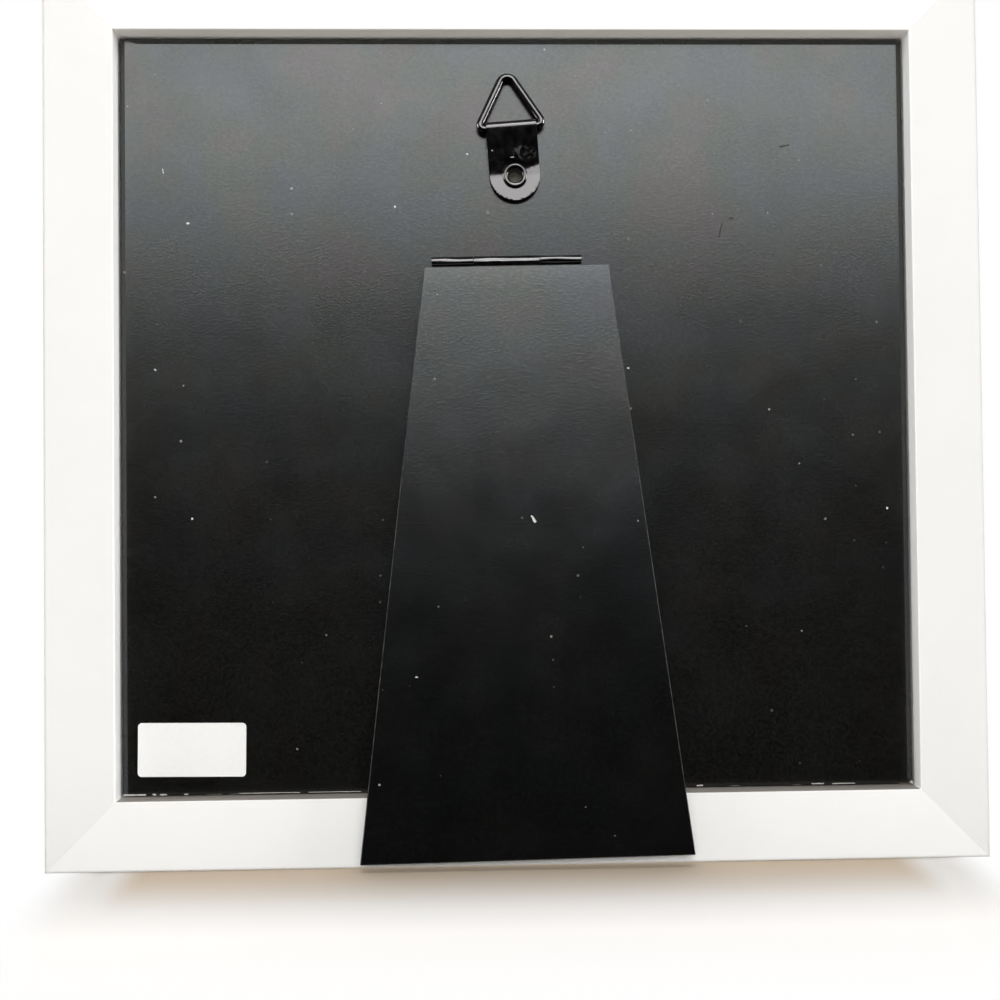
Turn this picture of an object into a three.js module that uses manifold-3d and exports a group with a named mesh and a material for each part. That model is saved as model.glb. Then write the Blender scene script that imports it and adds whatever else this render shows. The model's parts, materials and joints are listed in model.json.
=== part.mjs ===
// Ultrasound photo frame: a mitred moulding with the picture stack in its rabbet, closed by a back board
// that carries a hinged easel leg and a triangle hanger.
// Millimetres, +Z up. The picture faces -Y and the back board faces +Y.
// The origin is the middle of the moulding's bottom face, where the frame stands on a table.

import * as THREE from 'three';
import { mergeVertices } from 'three/addons/utils/BufferGeometryUtils.js';
import Module from 'manifold-3d';

const wasm = await Module();
wasm.setup();

// Moulding
const RABBET_WIDTH = 184;
const RABBET_HEIGHT = 176;
const RAIL_WIDTH = 16; // back face, from the outer edge to the rabbet's wall
const FRAME_DEPTH = 16;
const LIP_THICKNESS = 5; // in front of the glazing
const LIP_REACH = 6; // how far the lip covers the glazing
const OUTER_ARRIS = 0.8; // eased outer edges
const RABBET_ARRIS = 0.3; // eased edge where the rabbet meets the back
const SIGHT_BEVEL = 1.6; // along the sight edge, on the front
const MITRE_GAP = 0.1; // glue line

// V-nails across each mitre, sunk from the back and filled over
const NAIL_LEG = 4.2;
const NAIL_SHEET = 0.5;
const NAIL_HEIGHT = 7;
const NAIL_SINK = 1.6;
const NAIL_INSETS = { outer: 4, inner: 10 }; // corner of the V, from the frame's outer edges
const NAIL_FIT = 0.1;

// Picture stack, from the lip to the back
const STACK_GAP = 0.1; // between one layer and the next
const STACK_FIT = 0.5; // between a layer's edge and the rabbet's wall
const GLASS_THICKNESS = 2;
const MAT_THICKNESS = 1.4;
const MAT_WINDOW_WIDTH = 102;
const MAT_WINDOW_HEIGHT = 76;
const MAT_BEVEL = 1.4; // the window's edge is cut on the slant
const PRINT_WIDTH = 114;
const PRINT_HEIGHT = 88;
const PRINT_THICKNESS = 0.3;
const CARD_THICKNESS = 0.8;
const BOARD_THICKNESS = 2.4;
const BOARD_FIT = 0.4;

// Easel hinge: rolled knuckles on a wire pin
const HINGE_X = 2.2; // middle of the barrel
const HINGE_DROP = 20; // pin below the hanger's eyelet
const HINGE_LENGTH = 34.6;
const HINGE_SKEW = 0.8; // degrees, fixed a little out of square
const END_KNUCKLE = 9.6;
const KNUCKLE_GAP = 0.15;
const HINGE_SHEET = 0.5;
const PIN_DIAMETER = 1.5;
const PIN_FIT = 0.08; // radial, pin in knuckle
const BARREL_GAP = 0.12; // barrel above the board
const BOARD_ROLL_END = -160; // degrees, where the end knuckles' sheet stops
const LEG_ROLL_END = 285; // degrees, where the middle knuckle's sheet stops
const FLANGE_LENGTH = 8; // board leaf, clinched flat inside the board
const FLANGE_SINK = 0.05;
const LEAF_DEPTH = 10; // leg leaf, below the pin
const LEAF_FIT = 0.1; // round the leaves in board and leg
const STOP_LENGTH = 1.4; // stop dog along the barrel
const STOP_START = 205; // degrees
const STOP_WIDTH = 25; // degrees
const STOP_SLACK = 2; // degrees left at full opening
const LEG_OPENING = 32; // degrees from folded to open

// Easel leg
const LEG_TOP_WIDTH = 42.2;
const LEG_FOOT_WIDTH = 75;
const LEG_FOOT_RISE = 2; // folded leg's foot above the frame's bottom edge
const LEG_THICKNESS = 2.4;
const LEG_CENTRE_X = -1.9; // leg's middle line, from the barrel's middle
const LEG_TOP_GAP = 0.2; // between barrel and leg
const LEG_REST_GAP = 0.2; // between folded leg and moulding

// Hanger: folded strap, wire triangle and eyelet
const EYELET_DROP = 33.2; // below the rabbet's top wall
const HANGER_TILT = 4.4; // degrees
const STRAP_WIDTH = 11.8;
const STRAP_SHEET = 0.5;
const STRAP_GAP = 0.1; // strap above the board, and below the eyelet's flange
const STRAP_SEAT = 0.25; // flat strap round the eyelet's flange
const BAR_RISE = 11.2; // from eyelet to the ring's bar
const BAR_FIT = 0.1; // radial, wire in fold
const WIRE_DIAMETER = 1.8;
const RING_HEIGHT = 11.9; // bar to apex, on the wire's middle line
const RING_APEX_RADIUS = 1.9;
const RING_CORNER_RADIUS = 1.05;
const RING_SIDE_FIT = 0.15; // between the strap's edge and the ring's bend
const RING_JOINT = 0.3; // the wire's two ends, inside the fold
const RING_REST_GAP = 0.2; // between the ring's apex and the board
const EYELET_BORE = 3.2;
const EYELET_WALL = 0.4;
const EYELET_FLANGE = 5.7;
const EYELET_RIM = 0.8;
const EYELET_CLINCH = 5.6;
const EYELET_CLINCH_RIM = 0.6;
const EYELET_LIP = 0.35; // rounding into the bore
const EYELET_FIT = 0.08; // radial, round the tube

// Paper label, blank
const LABEL_WIDTH = 25;
const LABEL_HEIGHT = 12.7;
const LABEL_RADIUS = 1;
const LABEL_THICKNESS = 0.12;
const LABEL_SIDE = 3.8; // from the rabbet's side wall
const LABEL_RISE = 3.95; // above the rabbet's bottom wall
const LABEL_GAP = 0.03;

// Facets
const ARC_STEPS = 6; // half the chords of each drawn arc
const ROUND_SIDES = 32;
const PIN_SIDES = 20;
const WIRE_SIDES = 12;
const RING_STEPS = 64;
const WELD = 1e-4;
const CUT_MARGIN = 1; // how far a cutter stands out of what it cuts

// Levels that follow from the sizes above
const OUTER_WIDTH = RABBET_WIDTH + 2 * RAIL_WIDTH;
const OUTER_HEIGHT = RABBET_HEIGHT + 2 * RAIL_WIDTH;
const CENTRE_Z = OUTER_HEIGHT / 2;
const EYELET_HEIGHT = RAIL_WIDTH + RABBET_HEIGHT - EYELET_DROP;
const HINGE_HEIGHT = EYELET_HEIGHT - HINGE_DROP;
const LABEL_X = RABBET_WIDTH / 2 - LABEL_SIDE - LABEL_WIDTH / 2;
const LABEL_Z = RAIL_WIDTH + LABEL_RISE + LABEL_HEIGHT / 2;
const FRONT_Y = -FRAME_DEPTH / 2;
const BACK_Y = FRAME_DEPTH / 2;
const LIP_Y = FRONT_Y + LIP_THICKNESS;
const GLASS_Y = LIP_Y + STACK_GAP;
const MAT_Y = GLASS_Y + GLASS_THICKNESS + STACK_GAP;
const PRINT_Y = MAT_Y + MAT_THICKNESS + STACK_GAP;
const CARD_Y = PRINT_Y + PRINT_THICKNESS + STACK_GAP;
const BOARD_Y = CARD_Y + CARD_THICKNESS + STACK_GAP;
const BOARD_BACK_Y = BOARD_Y + BOARD_THICKNESS;
const LAYER_WIDTH = RABBET_WIDTH - 2 * STACK_FIT;
const LAYER_HEIGHT = RABBET_HEIGHT - 2 * STACK_FIT;

const ROLL_INNER = PIN_DIAMETER / 2 + PIN_FIT;
const ROLL_OUTER = ROLL_INNER + HINGE_SHEET;
const PIN_RISE = ROLL_OUTER + BARREL_GAP; // pin above the board's back
const MIDDLE_KNUCKLE = HINGE_LENGTH - 2 * (END_KNUCKLE + KNUCKLE_GAP);
const FLANGE_FRONT = -PIN_RISE - BOARD_THICKNESS + FLANGE_SINK;
const FLANGE_BACK = FLANGE_FRONT + HINGE_SHEET;
const LEAF_Y = (ROLL_INNER + ROLL_OUTER) / 2; // leg leaf's mid plane, from the pin
const LEG_INNER_Y = LEAF_Y - LEG_THICKNESS / 2;
const LEG_TOP_DROP = ROLL_OUTER + LEG_TOP_GAP;
const LEG_LENGTH = HINGE_HEIGHT - LEG_TOP_DROP - LEG_FOOT_RISE;

const WIRE_RADIUS = WIRE_DIAMETER / 2;
const FOLD_INNER = WIRE_RADIUS + BAR_FIT;
const FOLD_OUTER = FOLD_INNER + STRAP_SHEET;
const BAR_Y = STRAP_GAP + FOLD_OUTER; // bar above the board's back
const STRAP_MIDDLE = STRAP_GAP + STRAP_SHEET; // where the strap's two layers meet
const STRAP_FRONT = STRAP_MIDDLE + STRAP_SHEET;
const STRAP_FLAT = EYELET_FLANGE / 2 + STRAP_SEAT; // from the eyelet up, where the fold closes
const EYELET_TUBE = EYELET_BORE / 2 + EYELET_WALL;
const RING_LEAN = Math.asin((BAR_Y - WIRE_RADIUS - RING_REST_GAP) / RING_HEIGHT);

// The folded leg lies against the moulding's inner edge: its angle from the board, about the pin.
const REST_Y = BACK_Y - BOARD_BACK_Y - PIN_RISE;
const REST_DROP = HINGE_HEIGHT - RAIL_WIDTH;
const LEG_REST = Math.acos((LEG_INNER_Y - LEG_REST_GAP) / Math.hypot(REST_Y, REST_DROP))
  - Math.atan2(REST_DROP, REST_Y);

const rad = THREE.MathUtils.degToRad;
const deg = THREE.MathUtils.radToDeg;

// Finishes
const finish = (color, roughness, metalness = 0) => ({ color, roughness, metalness });
const WHITE_PAINT = finish(0xf4f3f0, 0.45);
const BLACK_PAPER = finish(0x17181a, 0.55);
const BLACK_STEEL = finish(0x0c0c0d, 0.25, 0.6);
const BARE_STEEL = finish(0x9a9da0, 0.35, 1);
const CLEAR_GLASS = { ...finish(0xe9f1ef, 0.05), transparent: true, opacity: 0.3 };
const WHITE_MAT = finish(0xf3efe6, 0.9);
const PRINT_PAPER = finish(0x2a2b2d, 0.4);
const GREY_CARD = finish(0x77736b, 0.95);
const LABEL_PAPER = finish(0xf2f2f0, 0.7);

// Solids for cutting and joining
function solidOf(geometry) {
  const bare = geometry.clone();
  bare.deleteAttribute('normal');
  bare.deleteAttribute('uv');
  const welded = mergeVertices(bare, WELD);
  const vertProperties = Float32Array.from(welded.attributes.position.array);
  const triVerts = Uint32Array.from(welded.index.array);
  return new wasm.Manifold(new wasm.Mesh({ numProp: 3, vertProperties, triVerts }));
}

function geometryOf(solid) {
  const { vertProperties, triVerts } = solid.getMesh();
  const indexed = new THREE.BufferGeometry();
  indexed.setAttribute('position', new THREE.BufferAttribute(vertProperties, 3));
  indexed.setIndex(new THREE.BufferAttribute(triVerts, 1));
  const geometry = indexed.toNonIndexed();
  geometry.computeVertexNormals();
  return geometry;
}

const cut = (geometry, ...tools) =>
  geometryOf(tools.reduce((solid, tool) => solid.subtract(solidOf(tool)), solidOf(geometry)));

const join = (geometry, ...others) =>
  geometryOf(others.reduce((solid, other) => solid.add(solidOf(other)), solidOf(geometry)));

const common = (geometry, other) => geometryOf(solidOf(geometry).intersect(solidOf(other)));

// An outline on the XZ plane, as thick as yFront to yBack
function plate(shape, yFront, yBack) {
  const geometry = new THREE.ExtrudeGeometry(shape, {
    depth: yBack - yFront,
    bevelEnabled: false,
    curveSegments: ARC_STEPS,
  });
  return geometry.rotateX(Math.PI / 2).translate(0, yBack, 0);
}

// A section on the YZ plane, run along X
const SECTION_TO_YZ = new THREE.Matrix4().makeBasis(
  new THREE.Vector3(0, 1, 0),
  new THREE.Vector3(0, 0, 1),
  new THREE.Vector3(1, 0, 0),
);

function run(shape, xLow, xHigh) {
  const geometry = new THREE.ExtrudeGeometry(shape, {
    depth: xHigh - xLow,
    bevelEnabled: false,
    curveSegments: ARC_STEPS,
  });
  return geometry.applyMatrix4(SECTION_TO_YZ).translate(xLow, 0, 0);
}

function block(xLow, xHigh, yLow, yHigh, zLow, zHigh) {
  const geometry = new THREE.BoxGeometry(xHigh - xLow, yHigh - yLow, zHigh - zLow);
  return geometry.translate((xLow + xHigh) / 2, (yLow + yHigh) / 2, (zLow + zHigh) / 2);
}

// A round bar along Y
function round(radius, yLow, yHigh) {
  const geometry = new THREE.CylinderGeometry(radius, radius, yHigh - yLow, ROUND_SIDES);
  return geometry.translate(0, (yLow + yHigh) / 2, 0);
}

function rectangle(width, height) {
  const shape = new THREE.Shape();
  shape.moveTo(-width / 2, -height / 2);
  shape.lineTo(width / 2, -height / 2);
  shape.lineTo(width / 2, height / 2);
  shape.lineTo(-width / 2, height / 2);
  shape.closePath();
  return shape;
}

function piece(name, geometry, look) {
  const mesh = new THREE.Mesh(geometry, new THREE.MeshStandardMaterial(look));
  mesh.name = name;
  return mesh;
}

const pictureFrame = new THREE.Group();

// Moulding: one profile, mitred at both ends.
// The profile's first coordinate runs from the outer edge inwards, its second from front to back.
function mouldingProfile() {
  const quarter = Math.PI / 2;
  const sight = RAIL_WIDTH + LIP_REACH;
  const profile = new THREE.Shape();
  profile.moveTo(OUTER_ARRIS, FRONT_Y);
  profile.lineTo(sight - SIGHT_BEVEL, FRONT_Y);
  profile.lineTo(sight, FRONT_Y + SIGHT_BEVEL);
  profile.lineTo(sight, LIP_Y);
  profile.lineTo(RAIL_WIDTH, LIP_Y);
  profile.absarc(RAIL_WIDTH - RABBET_ARRIS, BACK_Y - RABBET_ARRIS, RABBET_ARRIS, 0, quarter);
  profile.absarc(OUTER_ARRIS, BACK_Y - OUTER_ARRIS, OUTER_ARRIS, quarter, 2 * quarter);
  profile.absarc(OUTER_ARRIS, FRONT_Y + OUTER_ARRIS, OUTER_ARRIS, 2 * quarter, 3 * quarter);
  return profile;
}

// A V-nail's two legs, drawn from the frame's outer corner, and the slot it sits in when grown by a fit.
function nailOutline(inset, fit) {
  const near = inset - fit;
  const bend = inset + NAIL_SHEET + fit;
  const far = inset + NAIL_LEG + fit;
  const outline = new THREE.Shape();
  outline.moveTo(near, near);
  outline.lineTo(far, near);
  outline.lineTo(far, bend);
  outline.lineTo(bend, bend);
  outline.lineTo(bend, far);
  outline.lineTo(near, far);
  outline.closePath();
  return outline;
}

const NAIL_BACK = BACK_Y - NAIL_SINK;
const NAIL_FRONT = NAIL_BACK - NAIL_HEIGHT;
const nailPlate = (inset, fit) => plate(nailOutline(inset, fit), NAIL_FRONT - fit, NAIL_BACK + fit);

// A rail lies along X with its outer edge down, seen from the frame's middle.
function rail(length, reach) {
  const geometry = new THREE.ExtrudeGeometry(mouldingProfile(), {
    depth: length,
    bevelEnabled: false,
    curveSegments: ARC_STEPS,
  });
  const position = geometry.attributes.position;
  const inset = (MITRE_GAP / 2) * Math.SQRT2;
  for (let i = 0; i < position.count; i += 1) {
    const across = position.getX(i);
    const end = position.getZ(i) > length / 2 ? -1 : 1;
    position.setXYZ(i, end * (length / 2 - across - inset), position.getY(i), across - reach);
  }
  const slots = Object.values(NAIL_INSETS).flatMap((nailInset) => [
    nailPlate(nailInset, NAIL_FIT).translate(-length / 2, 0, -reach),
    nailPlate(nailInset, NAIL_FIT).rotateY(-Math.PI / 2).translate(length / 2, 0, -reach),
  ]);
  return cut(geometry, ...slots);
}

function moulding() {
  const group = new THREE.Group();
  group.position.z = CENTRE_Z;
  const sides = [
    ['bottom_rail', 0, OUTER_WIDTH, OUTER_HEIGHT],
    ['right_rail', -1, OUTER_HEIGHT, OUTER_WIDTH],
    ['top_rail', 2, OUTER_WIDTH, OUTER_HEIGHT],
    ['left_rail', 1, OUTER_HEIGHT, OUTER_WIDTH],
  ];
  for (const [name, turns, length, across] of sides) {
    const mesh = piece(name, rail(length, across / 2), WHITE_PAINT);
    mesh.rotation.y = (turns * Math.PI) / 2;
    group.add(mesh);
  }
  const corners = [
    ['bottom_left', -1, -1, 0],
    ['bottom_right', 1, -1, -1],
    ['top_right', 1, 1, 2],
    ['top_left', -1, 1, 1],
  ];
  for (const [corner, sideX, sideZ, turns] of corners) {
    for (const [place, inset] of Object.entries(NAIL_INSETS)) {
      const nail = piece(`v_nail_${corner}_${place}`, nailPlate(inset, 0), BARE_STEEL);
      nail.position.set((sideX * OUTER_WIDTH) / 2, 0, (sideZ * OUTER_HEIGHT) / 2);
      nail.rotation.y = (turns * Math.PI) / 2;
      group.add(nail);
    }
  }
  return group;
}

// Picture stack: glass, mat with a bevelled window, print and filler card
function matBoard() {
  const sheet = plate(rectangle(LAYER_WIDTH, LAYER_HEIGHT), MAT_Y, MAT_Y + MAT_THICKNESS);
  const window = plate(rectangle(MAT_WINDOW_WIDTH, MAT_WINDOW_HEIGHT), MAT_Y, MAT_Y + MAT_THICKNESS);
  const position = window.attributes.position;
  for (let i = 0; i < position.count; i += 1) {
    const front = position.getY(i) < MAT_Y + MAT_THICKNESS / 2;
    const spread = front ? MAT_BEVEL : 0;
    const x = position.getX(i);
    const z = position.getZ(i);
    position.setX(i, x + Math.sign(x) * spread);
    position.setZ(i, z + Math.sign(z) * spread);
  }
  const clearFront = plate(
    rectangle(MAT_WINDOW_WIDTH + 2 * MAT_BEVEL, MAT_WINDOW_HEIGHT + 2 * MAT_BEVEL),
    MAT_Y - CUT_MARGIN,
    MAT_Y,
  );
  const clearBack = plate(
    rectangle(MAT_WINDOW_WIDTH, MAT_WINDOW_HEIGHT),
    MAT_Y + MAT_THICKNESS,
    MAT_Y + MAT_THICKNESS + CUT_MARGIN,
  );
  return cut(sheet, join(window, clearFront, clearBack));
}

function pictureStack() {
  const group = new THREE.Group();
  group.position.z = CENTRE_Z;
  const layer = rectangle(LAYER_WIDTH, LAYER_HEIGHT);
  const print = rectangle(PRINT_WIDTH, PRINT_HEIGHT);
  group.add(piece('glazing', plate(layer, GLASS_Y, GLASS_Y + GLASS_THICKNESS), CLEAR_GLASS));
  group.add(piece('mat_board', matBoard(), WHITE_MAT));
  group.add(piece('sonogram_print', plate(print, PRINT_Y, PRINT_Y + PRINT_THICKNESS), PRINT_PAPER));
  group.add(piece('filler_card', plate(layer, CARD_Y, CARD_Y + CARD_THICKNESS), GREY_CARD));
  return group;
}

// Easel hinge, drawn about its pin: X along the pin, Y away from the board
const END_INNER = MIDDLE_KNUCKLE / 2 + KNUCKLE_GAP;
const END_OUTER = HINGE_LENGTH / 2;

function ringSector(innerRadius, outerRadius, start, end) {
  const sector = new THREE.Shape();
  sector.absarc(0, 0, outerRadius, rad(start), rad(end));
  sector.absarc(0, 0, innerRadius, rad(end), rad(start), true);
  return sector;
}

// The board leaf comes through the board over the pin and rolls round it; inside, it is bent up flat.
function boardLeafSection() {
  const section = new THREE.Shape();
  section.moveTo(FLANGE_BACK, ROLL_OUTER);
  section.lineTo(FLANGE_BACK, ROLL_OUTER + FLANGE_LENGTH);
  section.lineTo(FLANGE_FRONT, ROLL_OUTER + FLANGE_LENGTH);
  section.lineTo(FLANGE_FRONT, ROLL_INNER);
  section.absarc(0, 0, ROLL_INNER, Math.PI / 2, rad(BOARD_ROLL_END), true);
  section.absarc(0, 0, ROLL_OUTER, rad(BOARD_ROLL_END), Math.PI / 2);
  return section;
}

// The leg leaf rises out of the leg on the pin's outer side and rolls over it.
function legLeafSection() {
  const section = new THREE.Shape();
  section.moveTo(ROLL_OUTER, -LEAF_DEPTH);
  section.lineTo(ROLL_OUTER, 0);
  section.absarc(0, 0, ROLL_OUTER, 0, rad(LEG_ROLL_END));
  section.absarc(0, 0, ROLL_INNER, rad(LEG_ROLL_END), 0, true);
  section.lineTo(ROLL_INNER, -LEAF_DEPTH);
  return section;
}

// A dog on the middle knuckle runs in a relief in one end knuckle, and stops the leg at full opening.
function hingeBoardLeaf() {
  const flange = block(
    -END_OUTER,
    END_OUTER,
    FLANGE_FRONT,
    FLANGE_BACK,
    ROLL_OUTER + HINGE_SHEET,
    ROLL_OUTER + FLANGE_LENGTH,
  );
  const leaf = join(
    run(boardLeafSection(), -END_OUTER, -END_INNER),
    flange,
    run(boardLeafSection(), END_INNER, END_OUTER),
  );
  const stopEnd = STOP_START + STOP_WIDTH + deg(LEG_REST) + LEG_OPENING + STOP_SLACK;
  const relief = ringSector(ROLL_INNER / 2, ROLL_OUTER + CUT_MARGIN / 2, STOP_START - STOP_WIDTH, stopEnd);
  const reliefEnd = END_INNER + STOP_LENGTH;
  return cut(leaf, run(relief, END_INNER - KNUCKLE_GAP, reliefEnd));
}

function hingeLegLeaf() {
  const half = MIDDLE_KNUCKLE / 2;
  const strip = block(
    -END_OUTER,
    END_OUTER,
    ROLL_INNER,
    ROLL_OUTER,
    -LEAF_DEPTH,
    -LEG_TOP_DROP - LEAF_FIT,
  );
  const dog = ringSector(ROLL_INNER, ROLL_OUTER, STOP_START, STOP_START + STOP_WIDTH);
  return join(run(legLeafSection(), -half, half), strip, run(dog, half - STOP_LENGTH, half + STOP_LENGTH));
}

function hingePin() {
  const radius = PIN_DIAMETER / 2;
  return new THREE.CylinderGeometry(radius, radius, HINGE_LENGTH, PIN_SIDES).rotateZ(Math.PI / 2);
}

// What the board leaf takes out of the board: a slot for each tang, and a bed for the clinched flange
function boardLeafCuts() {
  const low = ROLL_INNER - LEAF_FIT;
  const slotTop = ROLL_OUTER + LEAF_FIT;
  const bedTop = ROLL_OUTER + FLANGE_LENGTH + LEAF_FIT;
  const front = FLANGE_FRONT - CUT_MARGIN;
  const slot = [front, -PIN_RISE + CUT_MARGIN, low, slotTop];
  const inner = END_INNER - LEAF_FIT;
  const outer = END_OUTER + LEAF_FIT;
  return [
    block(-outer, -inner, ...slot),
    block(inner, outer, ...slot),
    block(-outer, outer, front, FLANGE_BACK + LEAF_FIT, low, bedTop),
  ];
}

function easelLeg() {
  const outline = new THREE.Shape();
  const foot = -LEG_TOP_DROP - LEG_LENGTH;
  outline.moveTo(LEG_CENTRE_X - LEG_TOP_WIDTH / 2, -LEG_TOP_DROP);
  outline.lineTo(LEG_CENTRE_X - LEG_FOOT_WIDTH / 2, foot);
  outline.lineTo(LEG_CENTRE_X + LEG_FOOT_WIDTH / 2, foot);
  outline.lineTo(LEG_CENTRE_X + LEG_TOP_WIDTH / 2, -LEG_TOP_DROP);
  outline.closePath();
  const kerf = block(
    -END_OUTER - LEAF_FIT,
    END_OUTER + LEAF_FIT,
    ROLL_INNER - LEAF_FIT,
    ROLL_OUTER + LEAF_FIT,
    -LEAF_DEPTH - LEAF_FIT,
    -LEG_TOP_DROP + CUT_MARGIN,
  );
  return cut(plate(outline, LEG_INNER_Y, LEG_INNER_Y + LEG_THICKNESS), kerf);
}

// Places of hinge and hanger on the board
function hingePlace() {
  const group = new THREE.Group();
  group.position.set(HINGE_X, BOARD_BACK_Y + PIN_RISE, HINGE_HEIGHT);
  group.rotation.y = rad(HINGE_SKEW);
  group.updateMatrix();
  return group;
}

function hangerPlace() {
  const group = new THREE.Group();
  group.position.set(0, BOARD_BACK_Y, EYELET_HEIGHT);
  group.rotation.y = rad(HANGER_TILT);
  group.updateMatrix();
  return group;
}

// Hanger, drawn about its eyelet: Y away from the board, Z up the strap
// The direction from the bar to where a line from the closed fold touches a circle round the bar
function foldTangent(y, radius) {
  const toFold = new THREE.Vector2(y - BAR_Y, STRAP_FLAT - BAR_RISE);
  return toFold.angle() - 2 * Math.PI + Math.acos(radius / toFold.length());
}

// The strip comes up the board, turns round the wire and runs straight down to the eyelet again.
function strapSection() {
  const low = -STRAP_WIDTH / 2 - CUT_MARGIN;
  const section = new THREE.Shape();
  section.moveTo(STRAP_FRONT, low);
  section.lineTo(STRAP_FRONT, STRAP_FLAT);
  section.absarc(BAR_Y, BAR_RISE, FOLD_OUTER, foldTangent(STRAP_FRONT, FOLD_OUTER), Math.PI);
  section.lineTo(STRAP_GAP, low);
  const tunnel = new THREE.Path();
  tunnel.moveTo(STRAP_MIDDLE, STRAP_FLAT);
  tunnel.lineTo(STRAP_MIDDLE, BAR_RISE);
  tunnel.absarc(BAR_Y, BAR_RISE, FOLD_INNER, Math.PI, foldTangent(STRAP_MIDDLE, FOLD_INNER), true);
  tunnel.closePath();
  section.holes.push(tunnel);
  return section;
}

function hangerStrap() {
  const half = STRAP_WIDTH / 2;
  const top = BAR_RISE + FOLD_OUTER + CUT_MARGIN;
  const outline = new THREE.Shape();
  outline.moveTo(-half, top);
  outline.lineTo(-half, 0);
  outline.absarc(0, 0, half, Math.PI, 2 * Math.PI);
  outline.lineTo(half, top);
  const folded = run(strapSection(), -half - CUT_MARGIN, half + CUT_MARGIN);
  const strap = common(folded, plate(outline, 0, BAR_Y + FOLD_OUTER + CUT_MARGIN));
  return cut(strap, round(EYELET_TUBE + EYELET_FIT, -CUT_MARGIN, STRAP_FRONT + CUT_MARGIN));
}

// The wire's middle line: bar, bend, side, apex, side, bend and bar again, drawn about the bar
function ringPath() {
  const corner = new THREE.Vector2(STRAP_WIDTH / 2 + RING_SIDE_FIT, RING_CORNER_RADIUS);
  const apex = new THREE.Vector2(0, RING_HEIGHT - RING_APEX_RADIUS);
  const side = apex.clone().sub(corner);
  const lean = Math.acos((RING_CORNER_RADIUS - RING_APEX_RADIUS) / side.length());
  const facing = side.angle() - lean; // direction that the ring's side faces
  const path = new THREE.Path();
  path.moveTo(RING_JOINT / 2, 0);
  path.lineTo(corner.x, 0);
  path.absarc(corner.x, corner.y, RING_CORNER_RADIUS, -Math.PI / 2, facing);
  path.absarc(apex.x, apex.y, RING_APEX_RADIUS, facing, Math.PI - facing);
  path.absarc(-corner.x, corner.y, RING_CORNER_RADIUS, Math.PI - facing, 1.5 * Math.PI);
  path.lineTo(-RING_JOINT / 2, 0);
  return path;
}

function hangerRing() {
  const points = ringPath().getSpacedPoints(RING_STEPS).map((p) => new THREE.Vector3(p.x, 0, p.y));
  const section = new THREE.Shape();
  for (let i = 0; i < WIRE_SIDES; i += 1) {
    const angle = (2 * Math.PI * i) / WIRE_SIDES;
    const place = [WIRE_RADIUS * Math.cos(angle), WIRE_RADIUS * Math.sin(angle)];
    if (i === 0) section.moveTo(...place);
    else section.lineTo(...place);
  }
  section.closePath();
  const extrudePath = new THREE.CatmullRomCurve3(points);
  return new THREE.ExtrudeGeometry(section, { steps: RING_STEPS, extrudePath });
}

// Hollow rivet: a rolled flange over the strap, a tube through the board, and a clinched rim inside it
function hangerEyelet() {
  const bore = EYELET_BORE / 2;
  const under = STRAP_FRONT + STRAP_GAP;
  const top = under + EYELET_RIM;
  const inside = -BOARD_THICKNESS + FLANGE_SINK;
  const rim = EYELET_RIM / 2;
  const clinch = EYELET_CLINCH_RIM / 2;
  const quarter = Math.PI / 2;
  const profile = new THREE.Path();
  profile.moveTo(EYELET_TUBE, under);
  profile.lineTo(EYELET_FLANGE / 2 - rim, under);
  profile.absarc(EYELET_FLANGE / 2 - rim, under + rim, rim, -quarter, quarter);
  profile.absarc(bore + EYELET_LIP, top - EYELET_LIP, EYELET_LIP, quarter, 2 * quarter);
  profile.absarc(bore + EYELET_LIP, inside + EYELET_LIP, EYELET_LIP, 2 * quarter, 3 * quarter);
  profile.absarc(EYELET_CLINCH / 2 - clinch, inside + clinch, clinch, -quarter, quarter);
  profile.lineTo(EYELET_TUBE, inside + EYELET_CLINCH_RIM);
  profile.lineTo(EYELET_TUBE, under);
  return new THREE.LatheGeometry(profile.getPoints(ARC_STEPS), ROUND_SIDES);
}

function eyeletCuts() {
  const bed = -BOARD_THICKNESS + FLANGE_SINK + EYELET_CLINCH_RIM + LEAF_FIT;
  return [
    round(EYELET_TUBE + EYELET_FIT, -BOARD_THICKNESS - CUT_MARGIN, CUT_MARGIN),
    round(EYELET_CLINCH / 2 + LEAF_FIT, -BOARD_THICKNESS - CUT_MARGIN, bed),
  ];
}

// Back board with everything that is fixed to it
function backingBoard() {
  const outline = rectangle(RABBET_WIDTH - 2 * BOARD_FIT, RABBET_HEIGHT - 2 * BOARD_FIT);
  const sheet = plate(outline, BOARD_Y, BOARD_BACK_Y).translate(0, 0, CENTRE_Z);
  const hingeMatrix = hingePlace().matrix;
  const hangerMatrix = hangerPlace().matrix;
  const tools = [
    ...boardLeafCuts().map((tool) => tool.applyMatrix4(hingeMatrix)),
    ...eyeletCuts().map((tool) => tool.applyMatrix4(hangerMatrix)),
  ];
  return cut(sheet, ...tools);
}

function labelSheet() {
  const x = LABEL_WIDTH / 2 - LABEL_RADIUS;
  const z = LABEL_HEIGHT / 2 - LABEL_RADIUS;
  const quarter = Math.PI / 2;
  const outline = new THREE.Shape();
  outline.absarc(x, z, LABEL_RADIUS, 0, quarter);
  outline.absarc(-x, z, LABEL_RADIUS, quarter, 2 * quarter);
  outline.absarc(-x, -z, LABEL_RADIUS, 2 * quarter, 3 * quarter);
  outline.absarc(x, -z, LABEL_RADIUS, 3 * quarter, 4 * quarter);
  const front = BOARD_BACK_Y + LABEL_GAP;
  return plate(outline, front, front + LABEL_THICKNESS).translate(LABEL_X, 0, LABEL_Z);
}

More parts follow.
